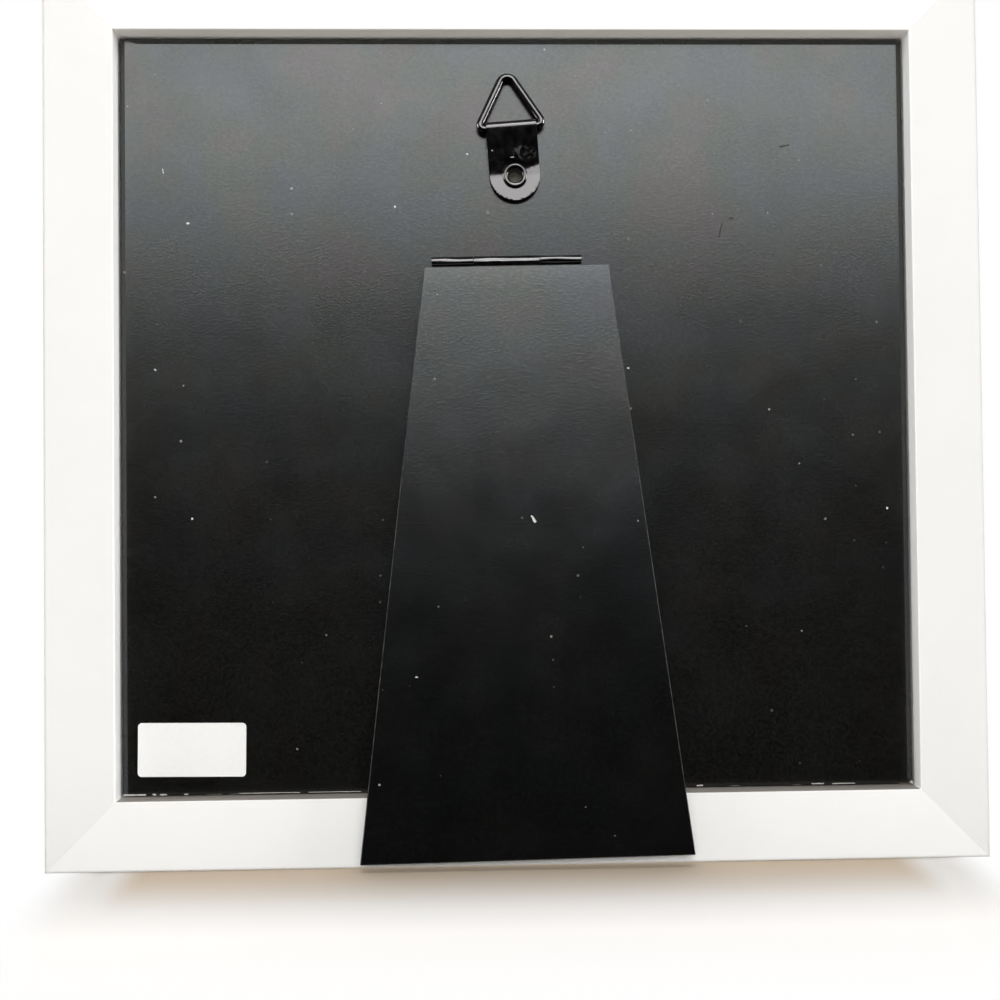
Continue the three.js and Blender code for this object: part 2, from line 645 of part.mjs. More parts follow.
function easel() {
  const group = hingePlace();
  group.add(piece('hinge_board_leaf', hingeBoardLeaf(), BLACK_STEEL));
  group.add(piece('hinge_pin', hingePin(), BARE_STEEL));
  const folded = new THREE.Group();
  folded.rotation.x = LEG_REST;
  folded.add(piece('hinge_leg_leaf', hingeLegLeaf(), BLACK_STEEL));
  folded.add(piece('easel_leg', easelLeg(), BLACK_PAPER));
  group.add(folded);
  return group;
}

function hanger() {
  const group = hangerPlace();
  group.add(piece('hanger_eyelet', hangerEyelet(), BLACK_STEEL));
  group.add(piece('hanger_strap', hangerStrap(), BLACK_STEEL));
  const ring = piece('hanger_ring', hangerRing(), BLACK_STEEL);
  ring.position.set(0, BAR_Y, BAR_RISE);
  ring.rotation.x = RING_LEAN;
  group.add(ring);
  return group;
}

pictureFrame.add(moulding());
pictureFrame.add(pictureStack());
pictureFrame.add(piece('backing_board', backingBoard(), BLACK_PAPER));
pictureFrame.add(easel());
pictureFrame.add(hanger());
pictureFrame.add(piece('label', labelSheet(), LABEL_PAPER));

export default pictureFrame;
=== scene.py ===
# %% [markdown]
# # Ultrasound photo frame, seen from its back
# A white wooden frame stands on a pale floor with its picture turned away. The back is closed by a board
# covered with black paper, and the board carries an easel leg on a rolled steel hinge and a triangle hanger.
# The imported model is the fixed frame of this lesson: every piece made here is fitted to it, in metres,
# with +Z up, the picture towards -Y and the back towards +Y.

import json
import math
from functools import partial

import bmesh
import bpy
from mathutils import Matrix, Vector, noise


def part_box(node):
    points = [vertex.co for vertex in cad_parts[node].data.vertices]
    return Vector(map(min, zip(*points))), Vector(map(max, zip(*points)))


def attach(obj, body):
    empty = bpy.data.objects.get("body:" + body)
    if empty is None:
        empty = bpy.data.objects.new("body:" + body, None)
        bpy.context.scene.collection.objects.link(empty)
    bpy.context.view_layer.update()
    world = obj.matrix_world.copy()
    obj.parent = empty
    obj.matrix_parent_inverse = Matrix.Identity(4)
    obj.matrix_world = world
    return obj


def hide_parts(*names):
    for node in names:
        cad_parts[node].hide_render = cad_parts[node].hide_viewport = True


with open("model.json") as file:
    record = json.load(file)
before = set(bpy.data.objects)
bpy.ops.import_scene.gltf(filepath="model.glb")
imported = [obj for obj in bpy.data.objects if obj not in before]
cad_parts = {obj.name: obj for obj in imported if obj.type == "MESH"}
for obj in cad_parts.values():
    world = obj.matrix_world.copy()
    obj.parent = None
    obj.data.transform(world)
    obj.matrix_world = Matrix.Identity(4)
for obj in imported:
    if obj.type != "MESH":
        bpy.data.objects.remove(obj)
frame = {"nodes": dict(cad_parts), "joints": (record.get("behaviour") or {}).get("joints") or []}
nodes = frame["nodes"]
joints = {joint["name"]: joint for joint in frame["joints"]}
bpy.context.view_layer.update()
MM = 0.001
FRAME_MIDDLE = 104  # mm above the floor

# %% [markdown]
# ## Camera
# A photograph of a flat object shows its rabbet as a rectangle in perspective. The camera's place, aim and
# roll below come from fitting a pinhole camera to that rectangle, with the moulding's sizes held fixed.
# The focal length is given in pixels of the 1000 pixel wide picture and turned into a lens.

# %% Camera
IMAGE_SIZE = 1000  # px
FOCAL_LENGTH = 1077  # px
SENSOR = 36  # mm
CAMERA_PLACE = Vector((10.46, 254.52, 79.27)) * MM
CAMERA_AIM = Vector((4.32, 8.0, 83.41)) * MM
CAMERA_ROLL = math.radians(-0.573)

camera_data = bpy.data.cameras.new("camera")
camera_data.sensor_width = SENSOR
camera_data.lens = FOCAL_LENGTH / IMAGE_SIZE * SENSOR
camera_data.clip_start = 0.01
camera = bpy.data.objects.new("camera", camera_data)
bpy.context.scene.collection.objects.link(camera)
level = (CAMERA_AIM - CAMERA_PLACE).to_track_quat("-Z", "Y").to_matrix()
turn = level @ Matrix.Rotation(CAMERA_ROLL, 3, "Z")
camera.matrix_world = Matrix.Translation(CAMERA_PLACE) @ turn.to_4x4()
bpy.context.scene.camera = camera
bpy.context.scene.view_settings.view_transform = "Standard"
print("camera:", round(camera_data.lens, 2), "mm lens,",
      round((CAMERA_AIM - CAMERA_PLACE).length / MM), "mm away")

# %% [markdown]
# ## Helpers for finishes
# Colours are written as sRGB hex values, as a colour picker shows them, and turned to linear light here.
# One small function adds a shader node: named settings are the node's own properties, and the dictionary
# holds its inputs. An input is a plain value, a hex colour, an output of another node, or another node, whose
# first output in use is linked. A Mix node has its factor at 0 and its colours at 6 and 7.

# %% Colour and node helpers


def linear(hex_colour):
    parts = [int(hex_colour[i:i + 2], 16) / 255 for i in (1, 3, 5)]
    return (*[v / 12.92 if v <= 0.04045 else ((v + 0.055) / 1.055) ** 2.4 for v in parts], 1.0)


def add_node(tree, kind, inputs=None, **settings):
    made = tree.nodes.new("ShaderNode" + kind)
    for key, value in settings.items():
        setattr(made, key, value)
    for key, value in (inputs or {}).items():
        if isinstance(value, bpy.types.Node):
            value = next(output for output in value.outputs if output.enabled)
        if isinstance(value, bpy.types.NodeSocket):
            tree.links.new(value, made.inputs[key])
        else:
            made.inputs[key].default_value = linear(value) if isinstance(value, str) else value
    return made


def new_material(name):
    """A material with no nodes yet, and the function that adds one to it."""
    made = bpy.data.materials.new(name)
    made.use_nodes = True
    made.node_tree.nodes.clear()
    return made, partial(add_node, made.node_tree)


def per_metre(millimetres):
    """Scale of a texture whose features are that many millimetres apart."""
    return 1 / (millimetres * MM)


def beyond_opening(add, place, half):
    """How far a place lies beyond the sides and the top or bottom of an opening in the frame's middle."""
    parts = add("SeparateXYZ", {0: place})
    above = add("Math", {0: parts.outputs["Z"], 1: FRAME_MIDDLE * MM}, operation="SUBTRACT")
    beyond = []
    for from_middle, reach in ((parts.outputs["X"], half[0]), (above, half[1])):
        aside = add("Math", {0: from_middle}, operation="ABSOLUTE")
        beyond.append(add("Math", {0: aside, 1: reach * MM}, operation="SUBTRACT"))
    return parts, above, beyond[0], beyond[1]


def pulp_material(name, fleck, detail, dark, pale, roughness, tooth=None, contrast=0.5):
    """Matt paper or card in flecks of two tones; sizes in mm, the tooth as a strength and a height."""
    material, add = new_material(name)
    place = add("TexCoord").outputs["Object"]
    flecks = add("TexNoise", {"Vector": place, "Scale": per_metre(fleck), "Detail": detail,
                              "Roughness": contrast})
    shade = add("Mix", {0: flecks, 6: dark, 7: pale}, data_type="RGBA")
    finish = {"Base Color": shade, "Roughness": roughness}
    if tooth:
        finish["Normal"] = add("Bump", {"Height": flecks, "Strength": tooth[0], "Distance": tooth[1] * MM})
    paper = add("BsdfPrincipled", finish)
    add("OutputMaterial", {"Surface": paper})
    return material


# %% [markdown]
# ## Helpers for modelling
# An operator acts on whatever is selected, so a piece is first made the only selected object, and in edit
# mode its edges or faces are then picked in code, by their place, their length or the way they face.

# %% Selection helpers
ACROSS, UP = Vector((1, 0, 0)), Vector((0, 0, 1))
WELD = 0.002 * MM  # points closer than this are one


def only(piece):
    """Select one piece and nothing else."""
    bpy.ops.object.select_all(action="DESELECT")
    piece.select_set(True)
    bpy.context.view_layer.objects.active = piece


def edit(piece):
    only(piece)
    bpy.ops.object.mode_set(mode="EDIT")
    bpy.ops.mesh.select_all(action="SELECT")


def on_bench(name):
    """Name the primitive just added, put its place into its mesh and open it with all of it selected."""
    made = bpy.context.object
    made.name = name
    bpy.ops.object.transform_apply(location=True, rotation=True, scale=True)
    edit(made)
    return made


def pull(distance, steps=1):
    """In edit mode, extrude what is selected, in equal steps."""
    for _ in range(steps):
        bpy.ops.mesh.extrude_region_move(TRANSFORM_OT_translate={"value": Vector(distance) / steps})


def slice_up(planes):
    """In edit mode, cut the whole piece by each plane, given as a point and the way that it faces."""
    for point, way in planes:
        bpy.ops.mesh.select_all(action="SELECT")
        bpy.ops.mesh.bisect(plane_co=point, plane_no=way)


def close_up():
    """Turn all faces outwards and leave edit mode."""
    bpy.ops.mesh.select_all(action="SELECT")
    bpy.ops.mesh.normals_make_consistent(inside=False)
    bpy.ops.object.mode_set(mode="OBJECT")


def pick(piece, kind, test):
    """In edit mode, select the vertices, edges or faces of a piece that pass a test."""
    bpy.ops.mesh.select_mode(type=kind)
    bpy.ops.mesh.select_all(action="DESELECT")
    mesh = bmesh.from_edit_mesh(piece.data)
    parts = {"VERT": mesh.verts, "EDGE": mesh.edges, "FACE": mesh.faces}[kind]
    chosen = [part for part in parts if test(part)]
    for part in chosen:
        part.select_set(True)
    bmesh.update_edit_mesh(piece.data)
    return len(chosen)


# %% [markdown]
# ## Studio
# The floor is a plain pale sheet that turns to pure white away from the frame, so that it keeps the frame's
# shadow and still ends in a white background. Soft panels and a dim room light the frame: a wide panel low
# behind the camera, which the black paper shows as a grey glow that fades downwards, and a smaller one above
# it for the rolled steel and the wire. Both stand far off, so that their light is even on the white rails.
# A panel at each side lights the rabbet's far wall, and once the rails are made it is flagged off the one
# next to it, which would otherwise turn as white as the background. An overhead panel leaves a soft shadow
# on the floor behind the frame, one panel lights only the floor, and one the picture side. A black velvet
# that only reflections see keeps the lower half of the black paper dark, as a dark room does. Beyond the
# frame, reflections see the low white backdrop, and elsewhere the dim room.

# %% Floor
FLOOR_SIZE = 6.0  # m
SHADE_HALF = (84, 8)  # mm, the part of the frame's footprint whose shade is full
SHADE_ENDS = 3.3  # how many times sooner the shade ends sideways
FLOOR_FADE = (35, 75)  # mm from there, where the paper turns to the white background
FLOOR_PAINTED_SHADE = 30  # mm from there, where the painted warm shade under the frame ends

bpy.ops.object.select_all(action="DESELECT")
bpy.ops.mesh.primitive_plane_add(size=FLOOR_SIZE)
floor = bpy.context.object
floor.name = "floor"
# Background paper: matt and pale, with painted warm shade close under the frame, pure white further off.
floor_paper, add = new_material("matt_white_background_paper")
light_path = add("LightPath")
seen = add("Math", {0: light_path.outputs["Is Camera Ray"], 1: light_path.outputs["Is Glossy Ray"]},
           operation="MAXIMUM")
seen = add("Math", {0: seen, 1: light_path.outputs["Is Transmission Ray"]}, operation="MAXIMUM")
place = add("TexCoord").outputs["Object"]
mirrored = add("VectorMath", {0: place}, operation="ABSOLUTE")
outside = add("VectorMath", {0: mirrored, 1: Vector((*SHADE_HALF, 0)) * MM}, operation="SUBTRACT")
outside = add("VectorMath", {0: outside, 1: (0, 0, 0)}, operation="MAXIMUM")
outside = add("VectorMath", {0: outside, 1: (SHADE_ENDS, 1, 1)}, operation="MULTIPLY")
away = add("VectorMath", {0: outside}, operation="LENGTH")
far = add("MapRange", {"Value": away, "From Min": FLOOR_FADE[0] * MM, "From Max": FLOOR_FADE[1] * MM},
          interpolation_type="SMOOTHSTEP")
white = add("Math", {0: far, 1: seen}, operation="MULTIPLY")
# Painted shade: the paper is warmer and darker close to the frame, where its shadow falls.
close = add("MapRange", {"Value": away, "From Max": FLOOR_PAINTED_SHADE * MM}, interpolation_type="SMOOTHSTEP")
painted_warm_shade = add("Mix", {0: close, 6: "#dccab5", 7: "#faf7f4"}, data_type="RGBA")
shown = add("Mix", {0: seen, 6: "#ece8e2", 7: painted_warm_shade}, data_type="RGBA")
paper = add("BsdfDiffuse", {"Color": shown})
glow = add("Emission", {"Color": "#ffffff", "Strength": 1.0})
both = add("MixShader", {0: white, 1: paper, 2: glow})
add("OutputMaterial", {"Surface": both})
floor.data.materials.append(floor_paper)
print("floor:", FLOOR_SIZE, "m square")

# %% World
ROOM_FILL = 0.08
BACKDROP_TOP = 0.5  # sine of the elevation where the white backdrop beyond the frame ends

world = bpy.data.worlds.new("studio")
world.use_nodes = True
bpy.context.scene.world = world
world.node_tree.nodes.clear()
add = partial(add_node, world.node_tree)
light_path = add("LightPath")
direction = add("TexCoord")
parts = add("SeparateXYZ", {0: direction.outputs["Generated"]})
beyond = add("Math", {0: parts.outputs["Y"], 1: 0.0}, operation="LESS_THAN")
low = add("Math", {0: parts.outputs["Z"], 1: BACKDROP_TOP}, operation="LESS_THAN")
backdrop = add("Math", {0: beyond, 1: low}, operation="MULTIPLY")
mirrored = add("Math", {0: light_path.outputs["Is Glossy Ray"], 1: backdrop}, operation="MULTIPLY")
seen = add("Math", {0: light_path.outputs["Is Camera Ray"], 1: light_path.outputs["Is Transmission Ray"]},
           operation="MAXIMUM")
seen = add("Math", {0: seen, 1: mirrored}, operation="MAXIMUM")
strength = add("MapRange", {"Value": seen, "To Min": ROOM_FILL, "To Max": 1.0})
room = add("Background", {"Color": "#ffffff", "Strength": strength})
add("OutputWorld", {"Surface": room})
print("world: room fill", ROOM_FILL)

# %% Panels
PANELS = {
    "low_panel": {"place": (-0.2, 2.532, 1.331), "aim": (0, 0, 0.026), "size": (3.6, 0.89), "power": 41.2},
    "high_panel": {"place": (-0.16, 1.822, 1.964), "aim": (0, 0, 0.107), "size": (1.0, 0.88), "power": 17.7},
    "right_panel": {"place": (-2.39, 0.34, 0.58), "aim": (0.09, 0, 0.1), "size": (0.4, 1.1), "power": 42.0},
    "left_panel": {"place": (2.39, 0.34, 0.58), "aim": (-0.09, 0, 0.1), "size": (0.4, 1.1), "power": 28.8},
    "top_panel": {"place": (0, -0.072, 1.2), "aim": (0, -0.072, 0), "size": (0.5, 0.21), "power": 10.0},
    "floor_panel": {"place": (0, 1.3, 0.28), "aim": (0, 0.02, 0), "size": (1.2, 0.2), "power": 22.0},
    "front_panel": {"place": (0.5, -1.2, 0.9), "aim": (0, 0, 0.1), "size": (0.9, 0.9), "power": 18.0},
}


def soft_panel(name, place, aim, size, power):
    data = bpy.data.lights.new(name, "AREA")
    data.shape = "RECTANGLE"
    data.size, data.size_y = size
    data.energy = power
    made = bpy.data.objects.new(name, data)
    bpy.context.scene.collection.objects.link(made)
    made.location = place
    made.rotation_euler = (Vector(aim) - Vector(place)).to_track_quat("-Z", "Y").to_euler()
    return made


def flag(panel, state, *things):
    """Let a panel light only these things, or everything but them."""
    marked = bpy.data.collections.new(panel + "_" + state.lower())
    for number, thing in enumerate(things):
        marked.objects.link(thing)
        marked.collection_objects[number].light_linking.link_state = state
    panels[panel].light_linking.receiver_collection = marked


panels = {name: soft_panel(name, **setup) for name, setup in PANELS.items()}
for name in ("low_panel", "high_panel", "front_panel"):
    flag(name, "EXCLUDE", floor)
flag("floor_panel", "INCLUDE", floor)
for name in ("top_panel", "floor_panel"):
    panels[name].visible_glossy = False
print("panels:", ", ".join(panels))

# %% Black velvet for reflections
VELVET_NEAR = 0.012  # m, on the floor, close behind the frame
VELVET_FAR = 2.6
VELVET_TOP = 0.62
VELVET_WIDTH = 5.0
VELVET_THICK = 0.0005

bpy.ops.object.select_all(action="DESELECT")
bpy.ops.mesh.primitive_plane_add(size=1)
velvet = on_bench("black_velvet")
bpy.ops.transform.resize(value=(VELVET_WIDTH, VELVET_FAR - VELVET_NEAR, 1))
bpy.ops.transform.translate(value=(0, (VELVET_FAR + VELVET_NEAR) / 2, VELVET_THICK))
pick(velvet, "EDGE", lambda edge: all(v.co.y > VELVET_FAR - MM for v in edge.verts))
pull((0, 0, VELVET_TOP))
bpy.ops.object.mode_set(mode="OBJECT")
# Velvet: as black as cloth gets, with no sheen.
velvet_cloth, add = new_material("black_velvet_cloth")
cloth = add("BsdfDiffuse", {"Color": "#0a0a0a"})
add("OutputMaterial", {"Surface": cloth})
velvet.data.materials.append(velvet_cloth)
velvet.visible_camera = velvet.visible_diffuse = velvet.visible_shadow = velvet.visible_transmission = False
print("velvet: from", VELVET_NEAR, "to", VELVET_FAR, "m")

# %% [markdown]
# ## Finishes
# ### White lacquer
# The moulding is wood sprayed with white lacquer. Satin lacquer is a white diffuse body under a clear skin
# with a fine orange peel, about a millimetre from hill to hill. The rabbet's walls above and below the board
# are grey-brown, with painted shade that makes the lower one darker than the upper; the side walls stay pale.
# The walls are found by their place, so one material serves all four rails.

# %% White lacquer
RABBET_HALF = (92, 88)  # mm
LIP_BACK = -3.0  # mm, the rabbet's floor
WALL_NEAR = 0.1  # mm, still the wall
WALL_END = -0.3  # mm from the corner, where the lower and upper walls end

# Sprayed white lacquer on wood: soft satin white, orange peel, grey-brown rabbet walls with painted shade.
lacquer, add = new_material("sprayed_white_lacquer_on_wood")
place = add("TexCoord").outputs["Object"]
parts, from_middle, beyond_x, beyond_z = beyond_opening(add, place, RABBET_HALF)
inside_x = add("Math", {0: beyond_x, 1: WALL_NEAR * MM}, operation="LESS_THAN")
on_level = add("Math", {0: beyond_z, 1: WALL_NEAR * MM}, operation="LESS_THAN")
behind = add("Math", {0: parts.outputs["Y"], 1: LIP_BACK * MM}, operation="GREATER_THAN")
wall = add("Math", {0: inside_x, 1: on_level}, operation="MULTIPLY")
wall = add("Math", {0: wall, 1: behind}, operation="MULTIPLY")
# The walls above and below the board get a grey-brown colour instead of the white.
flat_wall = add("Math", {0: beyond_x, 1: WALL_END * MM}, operation="LESS_THAN")
walls_with_painted_shade = add("Math", {0: wall, 1: flat_wall}, operation="MULTIPLY")
cloud = add("TexNoise", {"Vector": place, "Scale": per_metre(22), "Detail": 2.0})
body = add("Mix", {0: cloud, 6: "#ededec", 7: "#f2f2f1"}, data_type="RGBA")
grain_space = add("Mapping", {"Vector": place, "Scale": (per_metre(9), per_metre(0.7), per_metre(0.7))})
grain = add("TexNoise", {"Vector": grain_space, "Scale": 1.0, "Detail": 4.0})
# Painted shade and light: the lower wall's tones are dark and the upper wall's are light.
upper = add("Math", {0: from_middle, 1: 0.0}, operation="GREATER_THAN")
dark_grain = add("Mix", {0: upper, 6: "#8a847e", 7: "#e3e0dc"}, data_type="RGBA")
pale_grain = add("Mix", {0: upper, 6: "#a9a39c", 7: "#ebe9e6"}, data_type="RGBA")
wood = add("Mix", {0: grain, 6: dark_grain, 7: pale_grain}, data_type="RGBA")
colour = add("Mix", {0: walls_with_painted_shade, 6: body, 7: wood}, data_type="RGBA")
peel = add("TexNoise", {"Vector": place, "Scale": per_metre(1.1), "Detail": 2.0})
skin = add("Bump", {"Height": peel, "Strength": 0.6, "Distance": 0.012 * MM})
gloss = add("MapRange", {"Value": cloud, "To Min": 0.34, "To Max": 0.44})
lacquered = add("BsdfPrincipled", {"Base Color": colour, "Roughness": gloss, "Specular IOR Level": 0.2,
                                   "Normal": skin})
add("OutputMaterial", {"Surface": lacquered})
print("material:", lacquer.name)

# %% [markdown]
# ### Black paper
# Board and leg are fibreboard with black paper glued on. The paper is dull but still mirrors a little at
# arm's length: its fibres lie sideways, a millimetre or two long and a third of a millimetre wide, and their
# hills break the reflection into short streaks. Dust sits on it as pale dots.

# %% Black paper
FIBRE = (0.85, 0.85, 0.5)  # mm, along X, Y and Z
DUST_APART = 6.5  # mm
DUST_RARE = 0.7  # the share of places that stay clean


def black_paper(name, dark, pale, fibre_height, roughness, index):
    """Paper over board: near-black, sideways fibres in the sheen, a few pale grains of dust."""
    material, add = new_material(name)
    place = add("TexCoord").outputs["Object"]
    fibre_space = add("Mapping", {"Vector": place, "Scale": [per_metre(size) for size in FIBRE]})
    fibres = add("TexNoise", {"Vector": fibre_space, "Scale": 1.0, "Detail": 3.0, "Roughness": 0.55})
    waves = add("TexNoise", {"Vector": place, "Scale": per_metre(13), "Detail": 2.0})
    relief = add("Bump", {"Height": waves, "Strength": 1.0, "Distance": 0.006 * MM})
    raised = add("MapRange", {"Value": fibres, "From Min": 0.48, "From Max": 0.78})
    relief = add("Bump", {"Height": raised, "Strength": 1.0, "Distance": fibre_height * MM, "Normal": relief})
    sheen = add("MapRange", {"Value": waves, "From Min": 0.3, "From Max": 0.7, "To Min": roughness - 0.02,
                             "To Max": roughness + 0.02})
    shine = add("MapRange", {"Value": fibres, "From Min": 0.25, "From Max": 0.75, "To Min": 0.45,
                             "To Max": 0.59})
    casts = add("TexNoise", {"Vector": place, "Scale": per_metre(16), "Detail": 2.0})
    cast = add("ValToRGB", {"Fac": casts})
    for stop, position, tone in zip(cast.color_ramp.elements, (0.36, 0.66), ("#f3f9ff", "#fbf8f8")):
        stop.position, stop.color = position, linear(tone)
    cast.color_ramp.elements.new(0.52).color = linear("#f1faf5")
    sheet = add("Mapping", {"Vector": place, "Rotation": (math.pi / 2, 0, 0)})
    cells = add("TexVoronoi", {"Vector": sheet, "Scale": per_metre(DUST_APART)}, voronoi_dimensions="2D")
    chance = add("SeparateColor", {0: cells.outputs["Color"]})
    size = add("MapRange", {"Value": chance.outputs["Red"], "From Min": DUST_RARE, "From Max": 1.0,
                            "To Min": 0.015, "To Max": 0.05})
    grain = add("Math", {0: cells.outputs["Distance"], 1: size}, operation="LESS_THAN")
    rare = add("Math", {0: chance.outputs["Red"], 1: DUST_RARE}, operation="GREATER_THAN")
    grain = add("Math", {0: grain, 1: rare}, operation="MULTIPLY")
    pale_grain = add("Math", {0: chance.outputs["Green"], 1: 6.0}, operation="POWER")
    dusty = add("Math", {0: grain, 1: pale_grain}, operation="MULTIPLY")
    flecks = add("TexNoise", {"Vector": place, "Scale": per_metre(0.7), "Detail": 3.0, "Roughness": 0.7})
    pulp = add("MapRange", {"Value": flecks, "From Min": 0.36, "From Max": 0.64})
    dyed = add("Mix", {0: pulp, 6: dark, 7: pale}, data_type="RGBA")
    shade = add("Mix", {0: dusty, 6: dyed, 7: "#8f8d88"}, data_type="RGBA")
    paper = add("BsdfPrincipled", {"Base Color": shade, "Roughness": sheen, "IOR": index,
                                   "Specular IOR Level": shine, "Specular Tint": cast, "Normal": relief})
    add("OutputMaterial", {"Surface": paper})
    return material


board_paper = black_paper("black_paper_on_fibreboard", "#040301", "#131210", 0.007, 0.27, 1.71)
# Painted shade: the leg's copy of the black paper has darker colours than the board's.
shaded_leg_paper = black_paper("black_paper_on_leg", "#010101", "#080807", 0.0058, 0.26, 1.83)
print("materials:", board_paper.name, shaded_leg_paper.name)

# %% Worn paper edges
# Where the paper turns round an edge, its black coat is rubbed to grey and the pulp shows as pale nicks.
worn_edge, add = new_material("rubbed_black_paper_edge")
place = add("TexCoord").outputs["Object"]
rubs = add("TexNoise", {"Vector": place, "Scale": per_metre(2.6), "Detail": 3.0, "Roughness": 0.65})
rubbed = add("ValToRGB", {"Fac": rubs})
for stop, position, tone in zip(rubbed.color_ramp.elements, (0.35, 0.72), ("#151515", "#4a4845")):
    stop.position, stop.color = position, linear(tone)
edge_paper = add("BsdfPrincipled", {"Base Color": rubbed, "Roughness": 0.6})
add("OutputMaterial", {"Surface": edge_paper})

# Torn paper: white pulp, fluffy and matt, greyer in its hollows.
torn_pulp = pulp_material("torn_paper_pulp", 0.5, 3.0, "#8d8a84", "#e8e5de", 0.85, tooth=(0.5, 0.05))
# Lint and paper dust: loose white fibres, quite matt, greyer where they are thin.
lint = pulp_material("white_lint_and_paper_dust", 0.4, 2.0, "#a8a6a1", "#ecebe7", 0.9)
print("materials:", worn_edge.name, torn_pulp.name, lint.name)

# %% [markdown]
# ### Black nickel on steel
# Hinge and hanger are bent from steel and plated black. Black nickel is a metal, so it has no diffuse body:
# it only mirrors, at about a tenth of what it sees, and it is bright where a lamp is and black elsewhere.

# %% Black nickel
SCUFF_PLACE = (-2.2, 6.5, 163.9)  # mm, where the press slid on the hanger's strap
SCUFF_HALF = (3.4, 2.0, 1.9)
SCUFF_ROUGH = 0.3

# Black nickel plate: a dark mirror with a faint haze, rougher where it was handled and where the press slid.
nickel, add = new_material("black_nickel_plated_steel")
place = add("TexCoord").outputs["Object"]
haze = add("TexNoise", {"Vector": place, "Scale": per_metre(1.6), "Detail": 3.0, "Roughness": 0.6})
gloss = add("MapRange", {"Value": haze, "From Min": 0.3, "From Max": 0.75, "To Min": 0.15, "To Max": 0.25})
from_scuff = add("VectorMath", {0: place, 1: Vector(SCUFF_PLACE) * MM}, operation="SUBTRACT")
from_scuff = add("VectorMath", {0: from_scuff, 1: [per_metre(half) for half in SCUFF_HALF]},
                 operation="MULTIPLY")
from_scuff = add("VectorMath", {0: from_scuff}, operation="LENGTH")
scuffed = add("MapRange", {"Value": from_scuff, "From Min": 1.0, "From Max": 0.6, "To Max": SCUFF_ROUGH})
scores = add("TexNoise", {"Vector": place, "Scale": per_metre(1.7), "Detail": 3.0, "Roughness": 0.6,
                          "Distortion": 1.5})
scored = add("MapRange", {"Value": scores, "From Min": 0.45, "From Max": 0.62})
scuff = add("Math", {0: scuffed, 1: scored}, operation="MULTIPLY")
gloss = add("Math", {0: gloss, 1: scuff}, operation="ADD")
tone = add("Mix", {0: haze, 6: "#525152", 7: "#636161"}, data_type="RGBA")
pits = add("TexNoise", {"Vector": place, "Scale": per_metre(0.45), "Detail": 2.0})
skin = add("Bump", {"Height": pits, "Strength": 0.5, "Distance": 0.006 * MM})
plate = add("BsdfPrincipled", {"Base Color": tone, "Metallic": 1.0, "Roughness": gloss, "Normal": skin})
add("OutputMaterial", {"Surface": plate})
print("material:", nickel.name)

# %% Drawn wire
# Oiled drawn steel wire: a grey metal with fine lines along the drawing direction.
drawn_wire, add = new_material("oiled_drawn_steel_wire")
place = add("TexCoord").outputs["Object"]
drawn_space = add("Mapping", {"Vector": place, "Scale": (per_metre(6), per_metre(0.2), per_metre(0.2))})
drawn = add("TexNoise", {"Vector": drawn_space, "Scale": 1.0, "Detail": 2.0})
gloss = add("MapRange", {"Value": drawn, "To Min": 0.28, "To Max": 0.46})
tone = add("Mix", {0: drawn, 6: "#4c4d4e", 7: "#6e6f70"}, data_type="RGBA")
wire = add("BsdfPrincipled", {"Base Color": tone, "Metallic": 1.0, "Roughness": gloss})
add("OutputMaterial", {"Surface": wire})
print("material:", drawn_wire.name)

# %% [markdown]
# ### Glass, mat, print, card and label
# The picture side has a pane of float glass, a white-cored mat with a bevelled window, and behind it a
# glossy thermal print. The print shows what any such print shows: a fan of speckle on black, with a grey
# scale beside it. The glass lets the lamps' light straight through, and what the mat scatters back too,
# because light that bends in glass would reach the print only as noise.

# %% Float glass
# Float glass: clear, slightly green through its thickness, mirror-smooth.
glass, add = new_material("float_glass")
place = add("TexCoord").outputs["Object"]
smears = add("TexNoise", {"Vector": place, "Scale": per_metre(35), "Detail": 3.0})
gloss = add("MapRange", {"Value": smears, "From Min": 0.35, "From Max": 0.8, "To Min": 0.0, "To Max": 0.05})
clear = add("BsdfPrincipled", {"Base Color": "#fbfdfc", "Roughness": gloss, "IOR": 1.52,
                               "Transmission Weight": 1.0})
through = add("BsdfTransparent", {"Color": "#fdfefd"})
light_path = add("LightPath")
unbent = add("Math", {0: light_path.outputs["Is Shadow Ray"], 1: light_path.outputs["Is Diffuse Ray"]},
             operation="MAXIMUM")
pane = add("MixShader", {0: unbent, 1: clear, 2: through})
add("OutputMaterial", {"Surface": pane})
print("material:", glass.name)

# %% Mat card
MAT_WINDOW_HALF = (51, 38)  # mm
MAT_BEVEL = 1.45  # mm

# Mat board: ivory face paper with a felt-like tooth, cut back to its white core at the window.
mat, add = new_material("ivory_mat_board")
place = add("TexCoord").outputs["Object"]
_, _, beyond_x, beyond_z = beyond_opening(add, place, MAT_WINDOW_HALF)
beyond = add("Math", {0: beyond_x, 1: beyond_z}, operation="MAXIMUM")
core = add("Math", {0: beyond, 1: MAT_BEVEL * MM}, operation="LESS_THAN")
tooth = add("TexNoise", {"Vector": place, "Scale": per_metre(0.8), "Detail": 4.0, "Roughness": 0.6})
face = add("Mix", {0: tooth, 6: "#e9e5dc", 7: "#f2efe7"}, data_type="RGBA")
shade = add("Mix", {0: core, 6: face, 7: "#fbfaf7"}, data_type="RGBA")
felt = add("Bump", {"Height": tooth, "Strength": 0.5, "Distance": 0.04 * MM})
card = add("BsdfPrincipled", {"Base Color": shade, "Roughness": 0.88, "Normal": felt})
add("OutputMaterial", {"Surface": card})
print("material:", mat.name)

# %% Thermal print
FAN_TIP = (0, 0, 150)  # mm, where the fan's sides would meet
FAN_REACH = (11, 80)  # mm, from the tip
FAN_HALF_ANGLE = 39  # degrees
WEDGE = (46, 48.5, 84, 126)  # mm, the grey scale's sides, bottom and top

